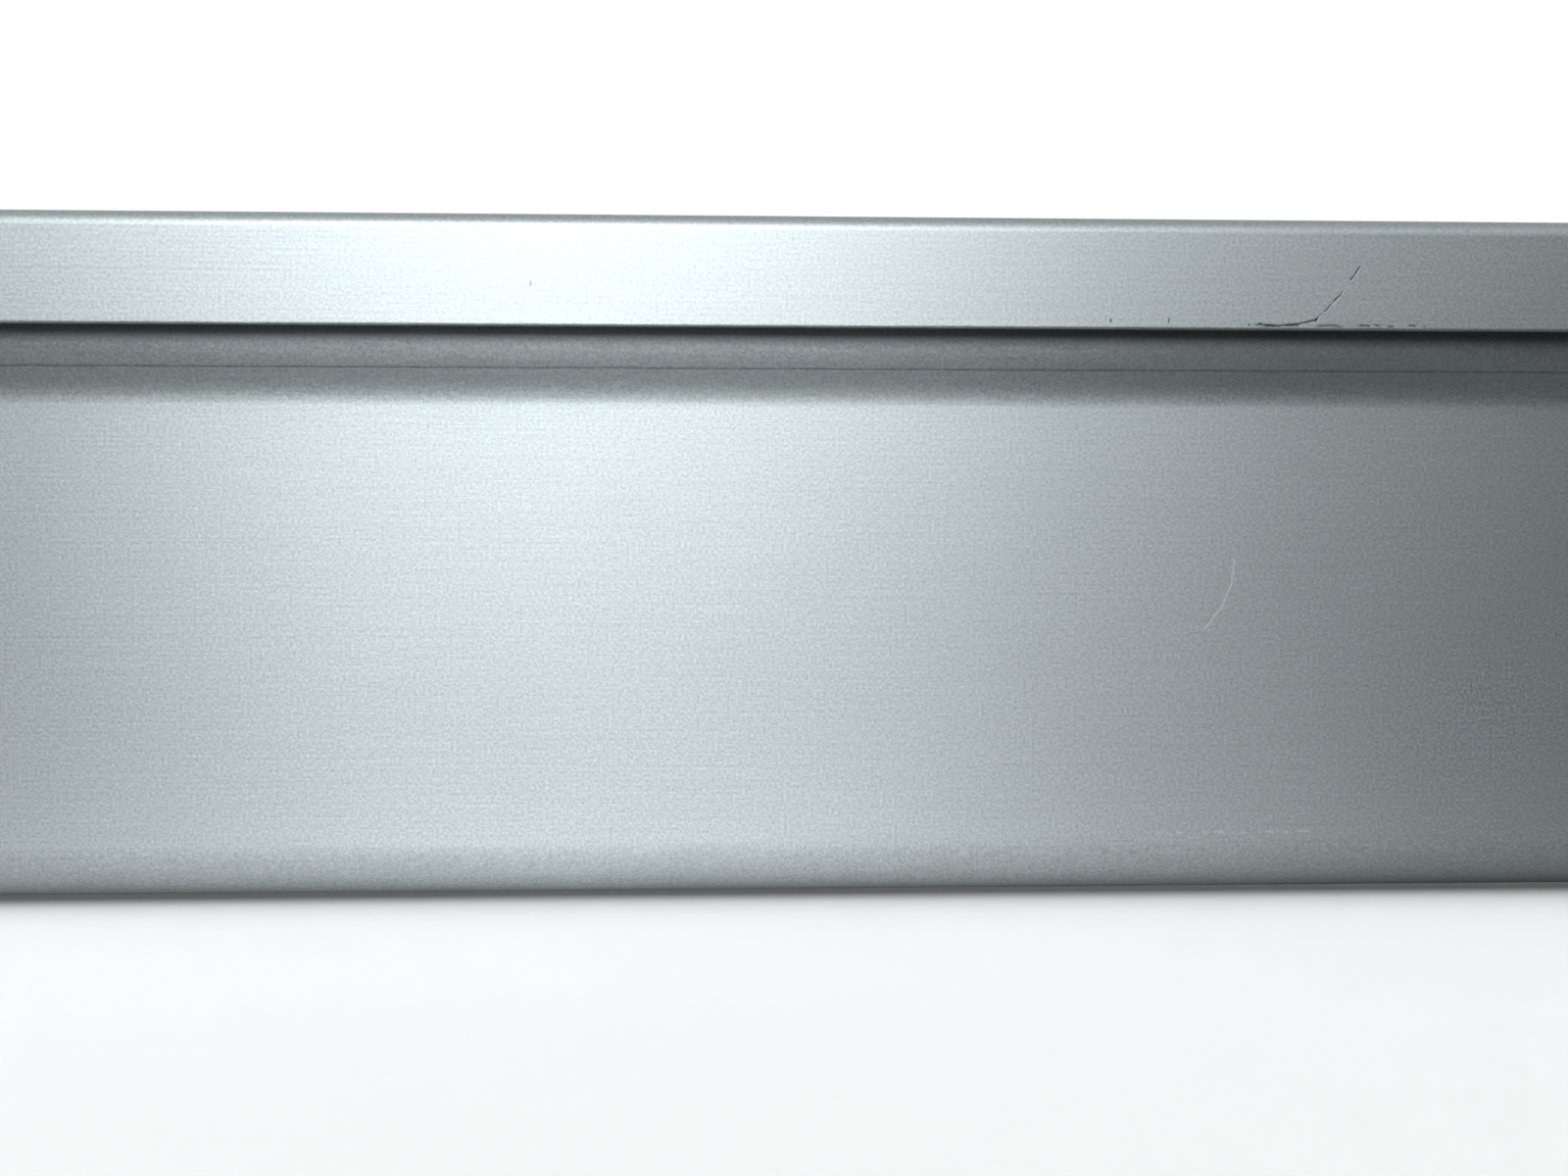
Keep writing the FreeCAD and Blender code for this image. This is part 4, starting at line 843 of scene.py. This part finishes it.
def build_foot_material(half_x, half_y):
    """The pale floor as the container mirrors it round its foot, brightest in front and dark under the base."""
    material, tree, strength = new_light_material("Foot light")
    point = add_node(tree, "TexCoord").outputs["Object"]
    axes = add_node(tree, "SeparateXYZ", Vector=point).outputs
    along = add_node(tree, "ValToRGB", Fac=calc(tree, "ADD", axes["X"], 0.5))
    set_ramp(along.color_ramp, [(place + 0.5, grey) for place, grey in FOOT_LIGHT])
    outside = calc(tree, "MAXIMUM", calc(tree, "SUBTRACT", calc(tree, "ABSOLUTE", axes["X"]), half_x),
                   calc(tree, "SUBTRACT", calc(tree, "ABSOLUTE", axes["Y"]), half_y))
    light = calc(tree, "MULTIPLY", along.outputs[0], ramp_between(tree, outside, FOOT_DARK, FOOT_BRIGHT))
    tree.links.new(light, strength)
    return material


def build_world(scene):
    """White behind the container and in what it mirrors, and a plain level of light from all sides."""
    world = bpy.data.worlds.new("Studio")
    scene.world = world
    world.use_nodes = True
    tree = world.node_tree
    back = next(n for n in tree.nodes if n.type == "BACKGROUND")
    rays = add_node(tree, "LightPath").outputs
    seen = calc(tree, "MAXIMUM", calc(tree, "MAXIMUM", rays["Is Camera Ray"], rays["Is Glossy Ray"]),
                rays["Is Transmission Ray"])
    level = add_node(tree, "MapRange", i0=seen, i1=0.0, i2=1.0, i3=DIFFUSE_LEVEL, i4=1.0).outputs[0]
    back.inputs["Color"].default_value = (1, 1, 1, 1)
    tree.links.new(level, back.inputs["Strength"])


class ContainerPanel(bpy.types.Panel):
    """Builds the container step by step and lists its sizes, colours and stage."""

    bl_idname = "VIEW3D_PT_container"
    bl_label = "Sterilization container"
    bl_space_type = "VIEW_3D"
    bl_region_type = "UI"
    bl_category = "Container"

    def draw(self, context):
        for operator in OPERATORS:
            self.layout.operator(operator.bl_idname)
        for group in (context.scene.container_sizes, context.scene.container_colours, context.scene.container_stage):
            box = self.layout.box()
            for name in group.__annotations__:
                box.prop(group, name)


OPERATORS = (BuildStage, BuildPan, BuildLid, BuildSteel, BuildGrips, BuildFilters)
GROUPS = {"container_sizes": ContainerSizes, "container_colours": ContainerColours, "container_stage": ContainerStage}


def register():
    for group in GROUPS.values():
        bpy.utils.register_class(group)
    for name, group in GROUPS.items():
        setattr(bpy.types.Scene, name, bpy.props.PointerProperty(type=group))
    for operator in OPERATORS:
        bpy.utils.register_class(operator)
    bpy.utils.register_class(ContainerPanel)


def unregister():
    bpy.utils.unregister_class(ContainerPanel)
    for operator in reversed(OPERATORS):
        bpy.utils.unregister_class(operator)
    for name in GROUPS:
        delattr(bpy.types.Scene, name)
    for group in reversed(list(GROUPS.values())):
        bpy.utils.unregister_class(group)


def main():
    register()
    build_brushed_group()
    build_arc_group()
    build_handling_group()
    build_crease_group()
    build_bend_group()
    bpy.ops.container.build_stage()
    bpy.ops.container.build_pan()
    bpy.ops.container.build_lid()
    bpy.ops.container.build_steel()
    bpy.ops.container.build_grips()
    bpy.ops.container.build_filters()


if __name__ == "__main__":
    main()
